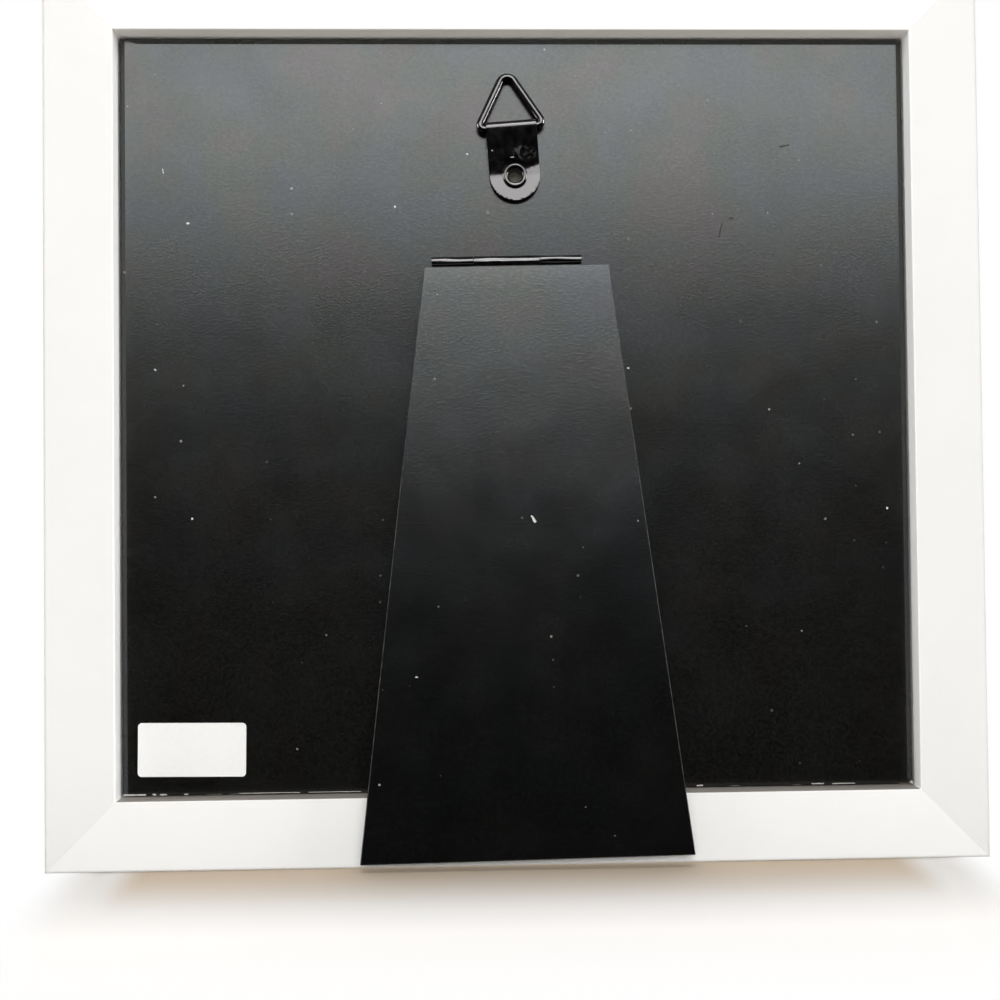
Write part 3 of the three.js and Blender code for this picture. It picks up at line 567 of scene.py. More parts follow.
# Glossy thermal paper: deep black gelatin shine with a fan of grey speckle printed in it.
thermal, add = new_material("glossy_thermal_print")
place = add("TexCoord").outputs["Object"]
from_tip = add("VectorMath", {0: place, 1: Vector(FAN_TIP) * MM}, operation="SUBTRACT")
parts = add("SeparateXYZ", {0: from_tip})
down = add("Math", {0: parts.outputs["Z"], 1: -1.0}, operation="MULTIPLY")
flat_place = add("CombineXYZ", {"X": parts.outputs["X"], "Z": parts.outputs["Z"]})
reach = add("VectorMath", {0: flat_place}, operation="LENGTH")
bearing = add("Math", {0: parts.outputs["X"], 1: down}, operation="ARCTAN2")
aside = add("Math", {0: bearing}, operation="ABSOLUTE")
in_fan = add("Math", {0: aside, 1: math.radians(FAN_HALF_ANGLE)}, operation="LESS_THAN")
past_top = add("Math", {0: reach, 1: FAN_REACH[0] * MM}, operation="GREATER_THAN")
before_end = add("Math", {0: reach, 1: FAN_REACH[1] * MM}, operation="LESS_THAN")
fan = add("Math", {0: in_fan, 1: past_top}, operation="MULTIPLY")
fan = add("Math", {0: fan, 1: before_end}, operation="MULTIPLY")
polar = add("CombineXYZ", {"X": bearing, "Y": reach})
speckle_space = add("Mapping", {"Vector": polar, "Scale": (42.0, per_metre(0.75), 1.0)})
speckle = add("TexNoise", {"Vector": speckle_space, "Scale": 1.0, "Detail": 2.0})
layer_space = add("Mapping", {"Vector": polar, "Scale": (2.6, per_metre(13), 1.0)})
layers = add("TexNoise", {"Vector": layer_space, "Scale": 1.0, "Detail": 3.0, "Distortion": 0.6})
tissue = add("MapRange", {"Value": layers, "From Min": 0.34, "From Max": 0.7})
dots = add("MapRange", {"Value": speckle, "From Min": 0.3, "From Max": 0.75, "To Min": 0.25, "To Max": 1.0})
echo = add("Math", {0: tissue, 1: dots}, operation="MULTIPLY")
echo = add("Math", {0: echo, 1: fan}, operation="MULTIPLY")
flat_parts = add("SeparateXYZ", {0: place})
wedge_tone = add("MapRange", {"Value": flat_parts.outputs["Z"], "From Min": WEDGE[2] * MM,
                              "From Max": WEDGE[3] * MM, "To Min": 0.02, "To Max": 0.9})
wedge_x = add("Math", {0: flat_parts.outputs["X"], 1: (WEDGE[0] + WEDGE[1]) / 2 * MM,
                       2: (WEDGE[1] - WEDGE[0]) / 2 * MM}, operation="COMPARE")
wedge_z = add("Math", {0: flat_parts.outputs["Z"], 1: (WEDGE[2] + WEDGE[3]) / 2 * MM,
                       2: (WEDGE[3] - WEDGE[2]) / 2 * MM}, operation="COMPARE")
wedge = add("Math", {0: wedge_x, 1: wedge_z}, operation="MULTIPLY")
wedge = add("Math", {0: wedge, 1: wedge_tone}, operation="MULTIPLY")
drawn = add("Math", {0: echo, 1: wedge}, operation="MAXIMUM")
shade = add("Mix", {0: drawn, 6: "#0d0d0e", 7: "#dcdcd8"}, data_type="RGBA")
print_face = add("BsdfPrincipled", {"Base Color": shade, "Roughness": 0.2})
add("OutputMaterial", {"Surface": print_face})
print("material:", thermal.name)

# %% Grey card and label paper
# Grey chipboard: recycled pulp with dark and light flecks, quite matt.
chipboard = pulp_material("grey_chipboard", 0.9, 5.0, "#5e5a53", "#948f86", 0.9, tooth=(0.5, 0.04),
                          contrast=0.7)
# Sticker paper: bright white, matt, with a trace of fibre.
sticker = pulp_material("matt_white_sticker_paper", 0.6, 4.0, "#efefee", "#f7f7f6", 0.6, tooth=(0.4, 0.008))
print("materials:", chipboard.name, sticker.name)

# %% Finishes for the frame's own pieces
OWN_FINISH = {"glazing": glass, "mat_board": mat, "sonogram_print": thermal, "filler_card": chipboard,
              "hinge_pin": drawn_wire}

for name, node in nodes.items():
    finish = drawn_wire if name.startswith("v_nail") else OWN_FINISH.get(name)
    if finish:
        node.data.materials.clear()
        node.data.materials.append(finish)
print("finished:", ", ".join(OWN_FINISH), "and the V-nails")

# %% [markdown]
# ## Helpers for pieces
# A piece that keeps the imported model's shape starts as a copy of its node. That mesh is loose triangles, so
# the copy is merged and its flat faces are joined first. Small pieces are shaped on the bench, in their
# joint's own axes with X along the joint and Y out of the back, and then put in place by moving the mesh.

# %% Modelling helpers


def cad_copy(node, name):
    """A merged copy of a node, its flat triangles joined to whole faces."""
    piece = bpy.data.objects.new(name, nodes[node].data.copy())
    bpy.context.scene.collection.objects.link(piece)
    piece.data.materials.clear()
    only(piece)
    bpy.ops.mesh.customdata_custom_splitnormals_clear()
    edit(piece)
    bpy.ops.mesh.remove_doubles(threshold=WELD)
    bpy.ops.mesh.dissolve_limited(angle_limit=math.radians(0.2))
    bpy.ops.object.mode_set(mode="OBJECT")
    return piece


def joint_axes(joint, along):
    """From the bench, with X along a direction and Y out of the back, to a joint's place in the frame."""
    out = Vector((0, 1, 0))
    axes = Matrix((along, out, along.cross(out))).transposed().to_4x4()
    return Matrix.Translation(joint["pos_m"]) @ axes


def finish_piece(piece, body, materials, replaced, smooth=30, flat_faces=False):
    """Shade a piece, and let it ride; flat_faces keeps wide faces flat beside their rounded edges."""
    only(piece)
    for material in materials:
        piece.data.materials.append(material)
    bpy.ops.object.shade_smooth_by_angle(angle=math.radians(smooth))
    if flat_faces:
        bpy.ops.object.modifier_add(type="WEIGHTED_NORMAL")
        piece.modifiers[-1].keep_sharp = True
        bpy.ops.object.modifier_apply(modifier=piece.modifiers[-1].name)
    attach(piece, body)
    if replaced:
        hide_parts(replaced)
    print("piece:", piece.name, len(piece.data.polygons), "faces on", body)


# %% [markdown]
# ## Moulding
# Lacquer never leaves a knife edge. Each rail is a copy of its node whose long edges are rounded by a seventh
# of a millimetre. The lacquer also fills the glue lines, so the mitred ends are brought together until only
# a hair's breadth is left between them.

# %% Rails
EDGE_ROUND = 0.14  # mm
LONG_EDGE = 100  # mm
OUTER_HALF = 108  # mm
OUTER_HEIGHT = 208  # mm
MITRE_FILL = 0.06  # mm, how far lacquer fills the glue line from each side

for name in ("top_rail", "bottom_rail", "left_rail", "right_rail"):
    rail = cad_copy(name, name + "_lacquered")
    edit(rail)
    count = pick(rail, "EDGE", lambda edge: edge.is_convex and edge.calc_length() > LONG_EDGE * MM)
    bpy.ops.mesh.bevel(offset=EDGE_ROUND * MM, segments=3, affect="EDGES")
    bpy.ops.object.mode_set(mode="OBJECT")
    for vert in rail.data.vertices:
        x, z = vert.co.x / MM, vert.co.z / MM
        if abs(abs(x) + min(z, OUTER_HEIGHT - z) - OUTER_HALF) < 2 * MITRE_FILL:
            if name in ("top_rail", "bottom_rail"):
                vert.co.x += math.copysign(MITRE_FILL, x) * MM
            else:
                vert.co.z += math.copysign(MITRE_FILL, z - FRAME_MIDDLE) * MM
    print(name, "long edges rounded:", count)
    finish_piece(rail, "frame", [lacquer], name, flat_faces=True)
for near_rail, panel in (("left_rail", "right_panel"), ("right_rail", "left_panel")):
    flag(panel, "EXCLUDE", floor, bpy.data.objects[near_rail + "_lacquered"])
    print(panel, "flagged off", near_rail)

# %% [markdown]
# ## Back board
# The board was papered and guillotined, so its edges are crushed and a little ragged: the face is cut a
# millimetre in from the edge, and the rim outside the cut is pressed down. The rim is then divided into short
# lengths, rounded, and each corner point is pushed in by a fraction of a millimetre. Along the bottom the
# paper is nicked where the board is prised out of the rabbet, and the pale pulp shows.

# %% Back board
BOARD_BACK = 4.4  # mm
BOARD_HALF = (91.6, 87.6)
CRUSHED = {"top": 1.5, "side": 1.3, "bottom": 0.6}  # mm, how wide the pressed rim is
CRUSH_DEPTH = 0.45
BOARD_SETTLED = 0.2  # mm, how far its bottom edge has sunk to the lower wall
BOARD_ROUND = 0.3
RIM_DEPTH = 2  # mm, the part of the edge that shows
RAGGED = 0.12  # mm, how far the edge wanders
WANDER = (1.7, 0.6)  # mm from one bend of it to the next, large and small
NICK_SIZE = (1.3, 0.2)  # mm, along the edge and through the board
EDGE_CUTS = 110
# From and to, in mm along the bottom, and how rarely
NICKED = ((92, 60, 0.0), (60, 44, 0.3), (-47, -76, 0.25), (-89, -92, 0.0))

board = cad_copy("backing_board", "back_board_papered")
board_top, board_bottom = FRAME_MIDDLE + BOARD_HALF[1], FRAME_MIDDLE - BOARD_HALF[1]


def on_rim(edge):
    """Whether an edge of the board runs along the outline of its back face."""
    ends = [vert.co / MM for vert in edge.verts]
    return all(end.y > BOARD_BACK - 2 * CRUSH_DEPTH for end in ends) and any(
        all(end.dot(way) > reach - 0.01 for end in ends)
        for way, reach in ((ACROSS, BOARD_HALF[0]), (-ACROSS, BOARD_HALF[0]), (UP, board_top),
                           (-UP, -board_bottom)))


edit(board)
slice_up((way * level * MM, way) for level, way in (
    (board_top - CRUSHED["top"], UP), (board_bottom + CRUSHED["bottom"], UP),
    (BOARD_HALF[0] - CRUSHED["side"], ACROSS), (CRUSHED["side"] - BOARD_HALF[0], ACROSS)))
for side in (-1, 1):
    for level, rim in ((board_top, -CRUSHED["top"]), (board_bottom, CRUSHED["bottom"])):
        fold = (Vector((side * BOARD_HALF[0], BOARD_BACK, level)),
                Vector((side * (BOARD_HALF[0] - CRUSHED["side"]), BOARD_BACK, level + rim)))
        ends = pick(board, "VERT", lambda vert: any((vert.co / MM - end).length < 0.02 for end in fold))
        bpy.ops.mesh.vert_connect()
        print("corner fold between", ends, "points")
print("rim edges:", pick(board, "EDGE", on_rim))
bpy.ops.transform.translate(value=(0, -CRUSH_DEPTH * MM, 0))
pick(board, "EDGE", lambda edge: on_rim(edge) and edge.calc_length() > LONG_EDGE * MM)
bpy.ops.mesh.subdivide(number_cuts=EDGE_CUTS)
pick(board, "EDGE", on_rim)
bpy.ops.mesh.bevel(offset=BOARD_ROUND * MM, segments=2, affect="EDGES")
mesh = bmesh.from_edit_mesh(board.data)
for vert in mesh.verts:
    if vert.co.z < (board_bottom + BOARD_ROUND) * MM and vert.co.y > (BOARD_BACK - RIM_DEPTH) * MM:
        vert.co.z -= BOARD_SETTLED * MM
middle = Vector((0, 0, FRAME_MIDDLE * MM))
for vert in {vert for face in mesh.faces if face.select for vert in face.verts}:
    wander = noise.noise(vert.co / (WANDER[0] * MM)) + 0.6 * noise.noise(vert.co / (WANDER[1] * MM))
    inwards = (middle - vert.co).normalized()
    vert.co += Vector((inwards.x, 0, inwards.z)) * max(0.0, wander) * RAGGED * MM
nicks = 0
for face in mesh.faces:
    centre = face.calc_center_median() / MM
    if face.select and centre.z < board_bottom + CRUSHED["bottom"]:
        chance = noise.noise(Vector((centre.x / NICK_SIZE[0], centre.y / NICK_SIZE[1], 7.0)))
        face.material_index = 1
        for start, end, rare in NICKED:
            if end < centre.x < start and chance > rare:
                face.material_index = 2
                nicks += 1
bmesh.update_edit_mesh(board.data)
bpy.ops.object.mode_set(mode="OBJECT")
print("nicked faces:", nicks)
finish_piece(board, "back", [board_paper, worn_edge, torn_pulp], "backing_board",
             smooth=6, flat_faces=True)

# %% [markdown]
# ## Easel leg
# The leg is the same papered board, sawn to a trapezoid and a little bowed, as thin papered board gets. Its
# edges are rounded, and the rounding gets the rubbed paper, so that the worn outline follows the geometry.

# %% Easel leg
LEG_ROUND = 0.22  # mm
LEG_SHARP = math.radians(30)  # edges sharper than this are rounded
LEG_LENGTHS = 24  # cut into this many lengths, to bend
LEG_BOW = 0.92  # mm at its belly, away from the back board
LEG_BELLY = 0.85  # below 1 the belly is lower than half the length
FOOT_WIDER = 0.75  # mm, how far the foot is sawn wider on the left
TOP_WIDER = 0.8  # mm, how far the top is sawn wider on the right

leg = cad_copy("easel_leg", "easel_leg_papered")
edit(leg)
pick(leg, "EDGE", lambda edge: edge.is_convex and edge.calc_length() > 2 * MM
     and edge.calc_face_angle(0) > LEG_SHARP)
bpy.ops.mesh.bevel(offset=LEG_ROUND * MM, segments=2, affect="EDGES")
mesh = bmesh.from_edit_mesh(leg.data)
for face in mesh.faces:
    face.material_index = int(min(edge.calc_length() for edge in face.edges) < LEG_ROUND * MM)
bmesh.update_edit_mesh(leg.data)
leg_low, leg_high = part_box("easel_leg")
leg_length = leg_high.z - leg_low.z
slice_up((UP * (leg_low.z + leg_length * step / LEG_LENGTHS), UP) for step in range(1, LEG_LENGTHS))
bpy.ops.object.mode_set(mode="OBJECT")
for vert in leg.data.vertices:
    up = min(max((vert.co.z - leg_low.z) / leg_length, 0), 1)
    left = (vert.co.x - leg_low.x) / (leg_high.x - leg_low.x)
    vert.co.x += (FOOT_WIDER * left * (1 - up) - TOP_WIDER * (1 - left) * up ** 3) * MM
    vert.co.y += LEG_BOW * math.sin(math.pi * up ** LEG_BELLY) ** 2 * MM
finish_piece(leg, "leg", [shaded_leg_paper, worn_edge], "easel_leg", smooth=40,
             flat_faces=True)
print("leg from y", round(min(v.co.y for v in leg.data.vertices) / MM, 2), "to",
      round(max(v.co.y for v in leg.data.vertices) / MM, 2), "mm")

# %% [markdown]
# ## Hinge
# The hinge is one strip of steel rolled round a wire. Rolled tinplate is never quite round: it is dented
# where the tool held it, and a highlight runs along it as a wavy line. The copies are cut into fine rings
# and strips, their corners are brought out to the true round, and then pushed in by slow noise.

# %% Hinge leaves
ROLL_OUTER = 1.33  # mm
ROLL_INNER = 0.83
RING_CUTS = 30  # planes through the pin
STRIP_WIDTH = 0.8  # mm
STRIPS = 22  # to each side of the middle
ON_ROUND = (0.93, 1.001)  # shares of a radius between which a point belongs to that round
DENT_DEPTH = 0.08
DENT_SIZE = (5.5, 1.3, 1.3)  # mm
LEAF_TURN = 0.3  # mm below the pin, how far the leg leaf's face keeps to the round
LEAF_SLANT = 0.22  # its slant below that, into the leg
LEAF_MOUTH = 1.6  # mm below the pin, where it is inside the leg

hinge_axes = joint_axes(joints["leg_hinge"], Vector(joints["leg_hinge"]["axis"]))
for node, body in (("hinge_board_leaf", "back"), ("hinge_leg_leaf", "leg")):
    leaf = cad_copy(node, node + "_rolled")
    leaf.data.transform(hinge_axes.inverted())
    edit(leaf)
    turns = [math.pi * (step + 0.5) / RING_CUTS for step in range(RING_CUTS)]
    slice_up(((0, 0, 0), (0, math.cos(angle), math.sin(angle))) for angle in turns)
    slice_up((ACROSS * step * STRIP_WIDTH * MM, ACROSS) for step in range(-STRIPS, STRIPS + 1))
    bpy.ops.object.mode_set(mode="OBJECT")
    for vert in leaf.data.vertices:
        across = math.hypot(vert.co.y, vert.co.z) / MM
        for true_round in (ROLL_INNER, ROLL_OUTER):
            if ON_ROUND[0] * true_round < across < ON_ROUND[1] * true_round:
                dent = noise.noise(Vector([vert.co[i] / (DENT_SIZE[i] * MM) for i in range(3)]))
                depth = DENT_DEPTH * (1 + dent) if true_round == ROLL_OUTER else 0
                grow = (true_round - depth) / across
                vert.co = (vert.co.x, vert.co.y * grow, vert.co.z * grow)
        if vert.co.z < 0 and vert.co.y > (ROLL_OUTER - 0.02) * MM:
            below = min(-vert.co.z / MM, LEAF_MOUTH)
            turned = min(below, LEAF_TURN)
            rounded = ROLL_OUTER - math.sqrt(ROLL_OUTER ** 2 - turned ** 2)
            vert.co.y -= (rounded + (below - turned) * LEAF_SLANT) * MM
    leaf.data.transform(hinge_axes)
    finish_piece(leaf, body, [nickel], node)

# %% [markdown]
# ## Hanger
# The strap is a strip folded round the wire and pressed flat at the eyelet. The press leaves a crease where
# the slope begins, lower on one side than on the other, a dimple round the eyelet and a dent above it.
# Its copy is cut into a fine grid, and the front layer's points are set to that pressed shape.

# %% Hanger strap
STRAP_FRONT = 1.1  # mm above the board
STRAP_MIDDLE = 0.6
FOLD_TANGENT = (10.83, 3.053)  # mm, where the slope meets the fold: up, and out
CREASE_LOW = 0.9  # mm above the eyelet, on the left
CREASE_RISE = 0.29  # mm higher for each mm to the right
FREE_END_LIFT = math.tan(math.radians(2.0))
DIMPLE_EDGE = 2.95  # mm from the eyelet's middle
DIMPLE_SLOPE = 0.45
DENT_PLACE = (-2.6, 4.7)  # mm, the press mark above the eyelet
DENT_FLATTER = 1.3  # how much lower than wide it is
RIDGE_HEIGHT, RIDGE_RADIUS, RIDGE_WIDTH = 0.07, 1.9, 0.4  # mm, metal pushed up round the dent
RIDGE_WAY = (0.45, 0.9)  # the side of the dent where that is highest
BURR_PLACE = (0.9, 4.1)
BURR_HEIGHT, BURR_FLATTER, BURR_SPREAD = 0.06, 1.5, 0.2
MARKS_FROM = 0.4  # mm of rise over which the press marks come in
STRAP_ROUND = 0.09
GRID = 0.4  # mm
GRID_STEPS = (14, 29)  # to the sides and below, and above the eyelet
SOLID_CREASE = 3.1  # mm above the eyelet, where the plain strap begins to rise
SOLID_SLOPE = 0.2527

hanger_axes = joint_axes(joints["hanger_swivel"], -Vector(joints["ring_swing"]["axis"]))
strap = cad_copy("hanger_strap", "hanger_strap_pressed")
strap.data.transform(hanger_axes.inverted())
edit(strap)
pick(strap, "EDGE", lambda edge: edge.is_convex and edge.calc_face_angle(0) > math.radians(60))
bpy.ops.mesh.bevel(offset=STRAP_ROUND * MM, segments=2, affect="EDGES")
for way, last in zip((ACROSS, UP), GRID_STEPS):
    slice_up((way * step * GRID * MM, way) for step in range(-GRID_STEPS[0], last + 1))
bpy.ops.object.mode_set(mode="OBJECT")


def pressed_out(x, z):
    """How far the front layer's face stands from the board at a place on the strap, in mm."""
    crease = CREASE_LOW + CREASE_RISE * max(0.0, -x)
    slope = (FOLD_TANGENT[1] - STRAP_FRONT) / (FOLD_TANGENT[0] - crease)
    rise = max(0.0, z - crease) * slope
    dimple = max(0.0, math.hypot(x, z) - DIMPLE_EDGE) * DIMPLE_SLOPE
    across, up = x - DENT_PLACE[0], (z - DENT_PLACE[1]) * DENT_FLATTER
    from_dent = math.hypot(across, up) + 0.001
    facing = max(0.0, (RIDGE_WAY[0] * across + RIDGE_WAY[1] * up) / from_dent)
    ridge = RIDGE_HEIGHT * facing * math.exp(-((from_dent - RIDGE_RADIUS) / RIDGE_WIDTH) ** 2)
    from_burr = (x - BURR_PLACE[0]) ** 2 + ((z - BURR_PLACE[1]) * BURR_FLATTER) ** 2
    burr = BURR_HEIGHT * math.exp(-from_burr / BURR_SPREAD)
    return STRAP_FRONT + min(rise, dimple) + (ridge + burr) * min(1.0, rise / MARKS_FROM)


for vert in strap.data.vertices:
    x, y, z = vert.co / MM
    slope_y = STRAP_FRONT + max(0.0, z - SOLID_CREASE) * SOLID_SLOPE
    if y > STRAP_MIDDLE + 0.2 and z < FOLD_TANGENT[0] - 0.05 and y > slope_y - 0.2:
        y += pressed_out(x, z) - slope_y
    if z < 0:
        y -= z * FREE_END_LIFT
    vert.co = Vector((x, y, z)) * MM
strap.data.transform(hanger_axes)
finish_piece(strap, "hanger", [nickel], "hanger_strap", smooth=35)

# %% [markdown]
# The ring is a wire bent round three corners. A circle is drawn across the bar, pulled along it, spun round
# the corner, pulled up the side and so on, until it is back inside the fold.

# %% Hanger ring
WIRE_RADIUS = 0.9  # mm
WIRE_SIDES = 24
WIRE_STEPS = 8  # along each straight length
BAR_OUT = 1.6  # mm above the board
BAR_RISE = 11.2  # mm above the eyelet
RING_HALF = 6.05  # mm, from the middle to the corner's centre
RING_HEIGHT = 11.9
APEX_RADIUS = 1.9
CORNER_RADIUS = 1.05
RING_LEAN = math.asin((BAR_OUT - WIRE_RADIUS - 0.2) / RING_HEIGHT)
WIRE_END = 0.15  # mm from the middle, where the wire's ends meet

corner = Vector((RING_HALF, 0, CORNER_RADIUS)) * MM
apex = Vector((0, 0, RING_HEIGHT - APEX_RADIUS)) * MM
between = apex - corner
facing = math.atan2(between.z, between.x) - math.acos((CORNER_RADIUS - APEX_RADIUS) * MM / between.length)
side = math.sqrt(between.length ** 2 - ((APEX_RADIUS - CORNER_RADIUS) * MM) ** 2)
along_side = Vector((-math.sin(facing), 0, math.cos(facing)))
half_bar = ACROSS * (RING_HALF - WIRE_END) * MM

bpy.ops.object.select_all(action="DESELECT")
bpy.ops.mesh.primitive_circle_add(vertices=WIRE_SIDES, radius=WIRE_RADIUS * MM, fill_type="NGON",
                                  location=(WIRE_END * MM, 0, 0), rotation=(0, math.pi / 2, 0))
ring = on_bench("hanger_ring_wire")


def turn_round(centre, angle, steps):
    bpy.ops.mesh.spin(steps=steps, angle=angle, center=centre, axis=(0, 1, 0))


pull(half_bar, WIRE_STEPS)
turn_round(corner, math.pi / 2 + facing, 14)
pull(along_side * side, WIRE_STEPS)
turn_round(apex, math.pi - 2 * facing, 18)
pull(Vector((along_side.x, 0, -along_side.z)) * side, WIRE_STEPS)
turn_round(Vector((-corner.x, 0, corner.z)), math.pi / 2 + facing, 14)
pull(half_bar, WIRE_STEPS)
bpy.ops.mesh.select_all(action="SELECT")
bpy.ops.mesh.remove_doubles(threshold=WELD)
close_up()
ring.data.transform(hanger_axes @ Matrix.Translation(Vector((0, BAR_OUT, BAR_RISE)) * MM)
                    @ Matrix.Rotation(RING_LEAN, 4, "X"))
finish_piece(ring, "ring", [nickel], "hanger_ring", smooth=40)
low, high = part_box("hanger_ring")
print("ring box off by", [round(max(abs(min(v.co[i] for v in ring.data.vertices) - low[i]),
                                    abs(max(v.co[i] for v in ring.data.vertices) - high[i])) / MM, 3)
                          for i in range(3)], "mm")

# %% [markdown]
# The eyelet is a tube whose two ends were rolled over by a punch. A circle the size of the bore is pulled
# out and widened ring by ring, over the rim, back under it and down the outside to the clinched end.

# %% Hanger eyelet
EYELET_SIDES = 72
EYELET_RINGS = (  # mm: radius, and height above the board's back
    (1.60, -2.0), (1.60, 0.90), (1.63, 1.40), (1.70, 1.70), (1.82, 1.86), (2.00, 1.94), (2.20, 1.98),
    (2.40, 2.0), (2.56, 1.97), (2.70, 1.88), (2.80, 1.74), (2.84, 1.60), (2.84, 1.44), (2.76, 1.30),
    (2.60, 1.22), (2.40, 1.20), (2.00, 1.20), (2.00, -1.74), (2.50, -1.76), (2.72, -1.88), (2.80, -2.05),
    (2.72, -2.22), (2.50, -2.34), (2.00, -2.34), (1.75, -2.30), (1.63, -2.16), (1.60, -2.0))

bpy.ops.object.select_all(action="DESELECT")
radius, height = EYELET_RINGS[0]
bpy.ops.mesh.primitive_circle_add(vertices=EYELET_SIDES, radius=radius * MM, location=(0, height * MM, 0),
                                  rotation=(math.pi / 2, 0, 0))
eyelet = on_bench("hanger_eyelet_rolled")
for next_radius, next_height in EYELET_RINGS[1:]:
    pull((0, (next_height - height) * MM, 0))
    wider = next_radius / radius
    bpy.ops.transform.resize(value=(wider, 1, wider), center_override=(0, next_height * MM, 0))
    radius, height = next_radius, next_height
bpy.ops.mesh.select_all(action="SELECT")
bpy.ops.mesh.remove_doubles(threshold=WELD)
close_up()
eyelet.data.transform(Matrix.Translation(joints["hanger_swivel"]["pos_m"]))
finish_piece(eyelet, "back", [nickel], "hanger_eyelet", smooth=40)

# %% [markdown]
# The eyelet was punched through the board without a hole, so a plug of fibreboard is left in its bore. A
# disc is pulled out, its face is inset and pushed up, and its points are roughened as torn fibre is.

# %% Plug in the eyelet
PLUG_RADIUS = 1.58  # mm
PLUG_HEIGHTS = (-2.0, -1.35, -1.15)  # mm above the board's back: bottom, edge and middle
PLUG_INSETS, PLUG_INSET = 3, 0.35  # how many, and mm each
PLUG_TORN = 0.08
FIBRE_SIZE = 0.5

bpy.ops.object.select_all(action="DESELECT")
bpy.ops.mesh.primitive_circle_add(vertices=36, radius=PLUG_RADIUS * MM, fill_type="NGON",
                                  location=(0, PLUG_HEIGHTS[0] * MM, 0), rotation=(-math.pi / 2, 0, 0))
plug = on_bench("eyelet_fibre_plug")
bottom, edge, middle = PLUG_HEIGHTS
pull((0, (edge - bottom) * MM, 0))
for step in range(PLUG_INSETS):
    bpy.ops.mesh.inset(thickness=PLUG_INSET * MM)
    bpy.ops.transform.translate(value=(0, (middle - edge) / PLUG_INSETS * MM, 0))
close_up()
for vert in plug.data.vertices:
    if vert.co.y > (edge + 0.01) * MM:
        vert.co.y += PLUG_TORN * noise.noise(vert.co / (FIBRE_SIZE * MM)) * MM
plug.data.transform(Matrix.Translation(joints["hanger_swivel"]["pos_m"]))
finish_piece(plug, "back", [chipboard], None)

# %% [markdown]
# ## Label
# A small blank sticker with round corners, as thick as paper and a little lifted at one corner.

# %% Label
LABEL_CORNER = 0.9  # mm
LABEL_TRIM = (0.3, 0.65)  # mm cut off at its outer side and at its bottom
LABEL_RISE = 0.25  # mm added at its top
LABEL_TURN = 0.012  # radians, stuck on a little out of square
LABEL_LIFT = 0.1  # mm, at the corner that has come loose
LABEL_LOOSE = 5  # mm from that corner, where it holds again
label_low, label_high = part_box("label")
label_low.z += LABEL_TRIM[1] * MM
label_high.x -= LABEL_TRIM[0] * MM
label_high.z += LABEL_RISE * MM
label_size = label_high - label_low
label_middle = (label_low + label_high) / 2

bpy.ops.object.select_all(action="DESELECT")
bpy.ops.mesh.primitive_plane_add(size=1, rotation=(-math.pi / 2, 0, 0))
label = on_bench("label_sticker")
bpy.ops.transform.resize(value=(label_size.x, 1, label_size.z))
bpy.ops.mesh.bevel(offset=LABEL_CORNER * MM, segments=8, affect="VERTICES")
bpy.ops.transform.translate(value=(label_middle.x, label_low.y, label_middle.z))
slice_up((ACROSS * (label_low.x + step * MM), ACROSS) for step in range(1, 25))
slice_up((UP * (label_low.z + step * MM), UP) for step in range(1, 12))
bpy.ops.mesh.select_all(action="SELECT")
pull((0, label_size.y, 0))
close_up()
for vert in label.data.vertices:
    loose = (vert.co.x - label_low.x + vert.co.z - label_low.z) / MM
    vert.co.y += LABEL_LIFT * MM * max(0.0, 1 - loose / LABEL_LOOSE) ** 2
    across, up = vert.co.x - label_middle.x, vert.co.z - label_middle.z
    vert.co.x -= LABEL_TURN * up
    vert.co.z += LABEL_TURN * across
finish_piece(label, "back", [sticker], "label")

# %% [markdown]
# ## Dust and torn paper
# A used frame is never clean. Scraps of torn paper stand along the board's bottom edge, white lint lies on
# board and leg, the paper is scuffed in a few places, and the strap's press left two burrs. Each scrap is a
# thin plate with cut corners and wandering sides, and it is set down on the piece that carries it.

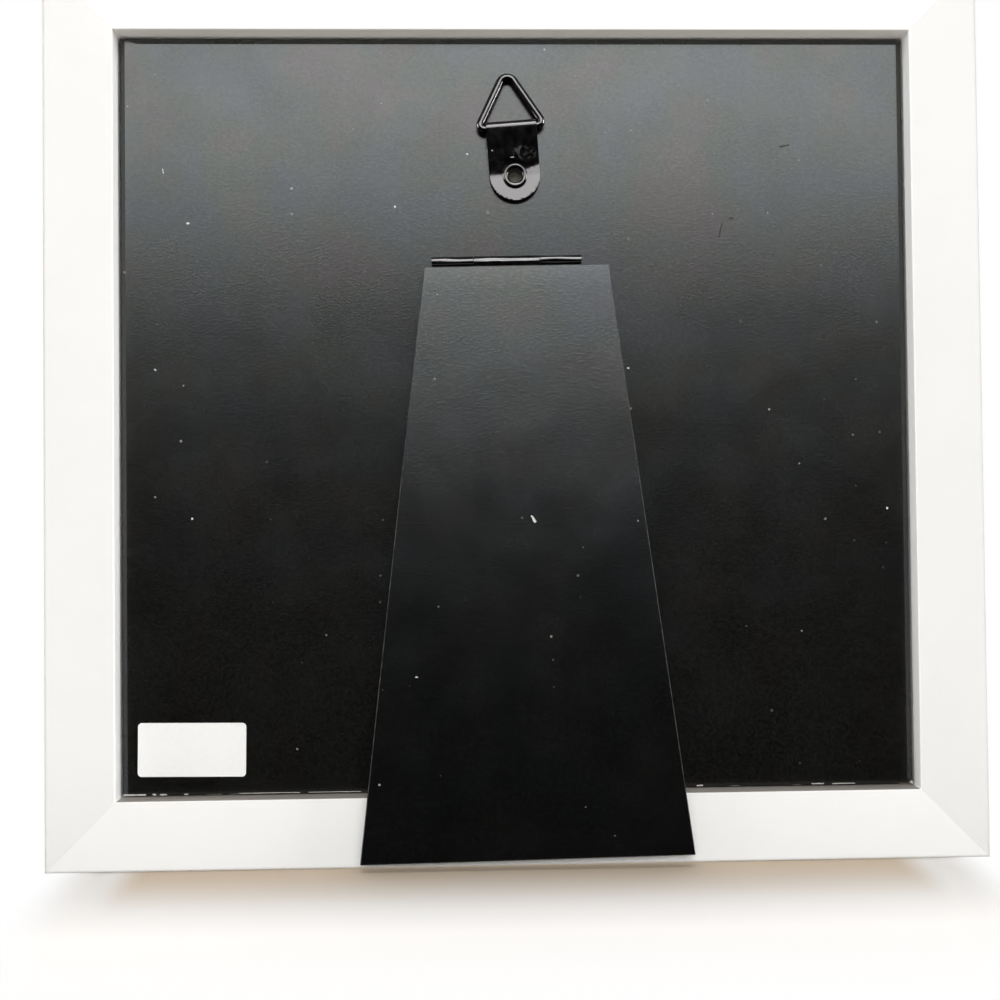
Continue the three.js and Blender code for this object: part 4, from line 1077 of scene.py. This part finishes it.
# %% Scraps
SCRAPS = {  # mm: place across and up, length and width; degrees that the length is turned
    "board_torn_slivers": ("backing_board", torn_pulp, 0.12, (
        (88.7, 16.55, 5.2, 0.42, 0), (84.3, 16.6, 0.8, 0.5, 30), (82.2, 16.55, 1.5, 0.42, 0),
        (77.0, 16.5, 0.9, 0.3, 0), (58.0, 16.55, 14.0, 0.16, 0), (43.0, 16.55, 12.0, 0.14, 0),
        (-41.6, 16.65, 1.4, 0.3, 0), (-69.2, 16.65, 2.9, 0.28, 0), (-75.3, 16.6, 5.4, 0.2, 0),
        (-91.2, 16.7, 0.8, 0.6, 40))),
    "board_dust": ("backing_board", lint, 0.06, (
        (11.1, 164.3, 0.55, 0.45, 20), (28.0, 152.0, 0.55, 0.5, 60), (75.9, 148.2, 0.75, 0.55, -20),
        (81.6, 160.4, 1.2, 0.16, 80), (75.3, 79.8, 0.5, 0.4, 0), (83.6, 114.3, 0.5, 0.4, 40),
        (-86.5, 80.7, 0.5, 0.4, 70), (-26.0, 114.0, 0.5, 0.4, 10))),
    "board_scuffs": ("backing_board", worn_edge, 0.05, (
        (-48.1, 146.1, 3.4, 0.3, -78), (-50.6, 149.1, 1.2, 0.5, 15), (-63.4, 166.1, 2.4, 0.3, -10))),
    "leg_lint": ("easel_leg", lint, 0.08, ((-3.2, 79.0, 1.9, 0.5, 60), (23.6, 43.6, 0.5, 0.4, 0))),
    "strap_burrs": ("hanger_strap", nickel, 0.08, ((0.7, 163.0, 0.9, 0.3, 10), (5.3, 164.4, 0.45, 0.35, 20))),
}
CARRIERS = {"backing_board": (board, "back", "black_paper_board"),
            "easel_leg": (leg, "leg", "black_paper_board"), "hanger_strap": (strap, "hanger", "black_steel")}
RAY_START = 0.05  # m behind the frame
SCRAP_CORNER = 0.35  # shares of a scrap's width: its cut corners, and how far its length and width wander
SCRAP_WANDER = (0.25, 0.45)
SCRAP_SUNK = 0.3  # the share of its thickness that is pressed in


def lay_scrap(carrier, thickness, x, z, length, width, turned):
    """A thin plate on the back of a piece, its corners cut off and its sides wandering."""
    _, seat, _, _ = carrier.ray_cast((x * MM, RAY_START, z * MM), (0, -1, 0))
    bpy.ops.object.select_all(action="DESELECT")
    bpy.ops.mesh.primitive_plane_add(size=1, rotation=(-math.pi / 2, 0, 0))
    scrap = on_bench("scrap")
    bpy.ops.transform.resize(value=(length * MM, 1, width * MM))
    bpy.ops.mesh.bevel(offset=SCRAP_CORNER * width * MM, segments=2, affect="VERTICES")
    bpy.ops.mesh.subdivide(number_cuts=4)
    pull((0, thickness * MM, 0))
    close_up()
    for vert in scrap.data.vertices:
        spot = Vector((vert.co.x / MM, z, vert.co.z / MM)) * 1.7
        vert.co.x += SCRAP_WANDER[0] * width * noise.noise(spot) * MM
        vert.co.z += SCRAP_WANDER[1] * width * noise.noise(spot + Vector((0, 9, 0))) * MM
    sunk = seat - Vector((0, SCRAP_SUNK * thickness * MM, 0))
    scrap.data.transform(Matrix.Translation(sunk) @ Matrix.Rotation(math.radians(-turned), 4, "Y"))
    return scrap


bpy.context.view_layer.update()
for name, (carrier, material, thickness, places) in SCRAPS.items():
    piece, body, slot = CARRIERS[carrier]
    scraps = [lay_scrap(piece, thickness, *spot) for spot in places]
    only(scraps[0])
    for scrap in scraps:
        scrap.select_set(True)
    bpy.ops.object.join()
    scraps[0].name = name
    finish_piece(scraps[0], body, [material], None)
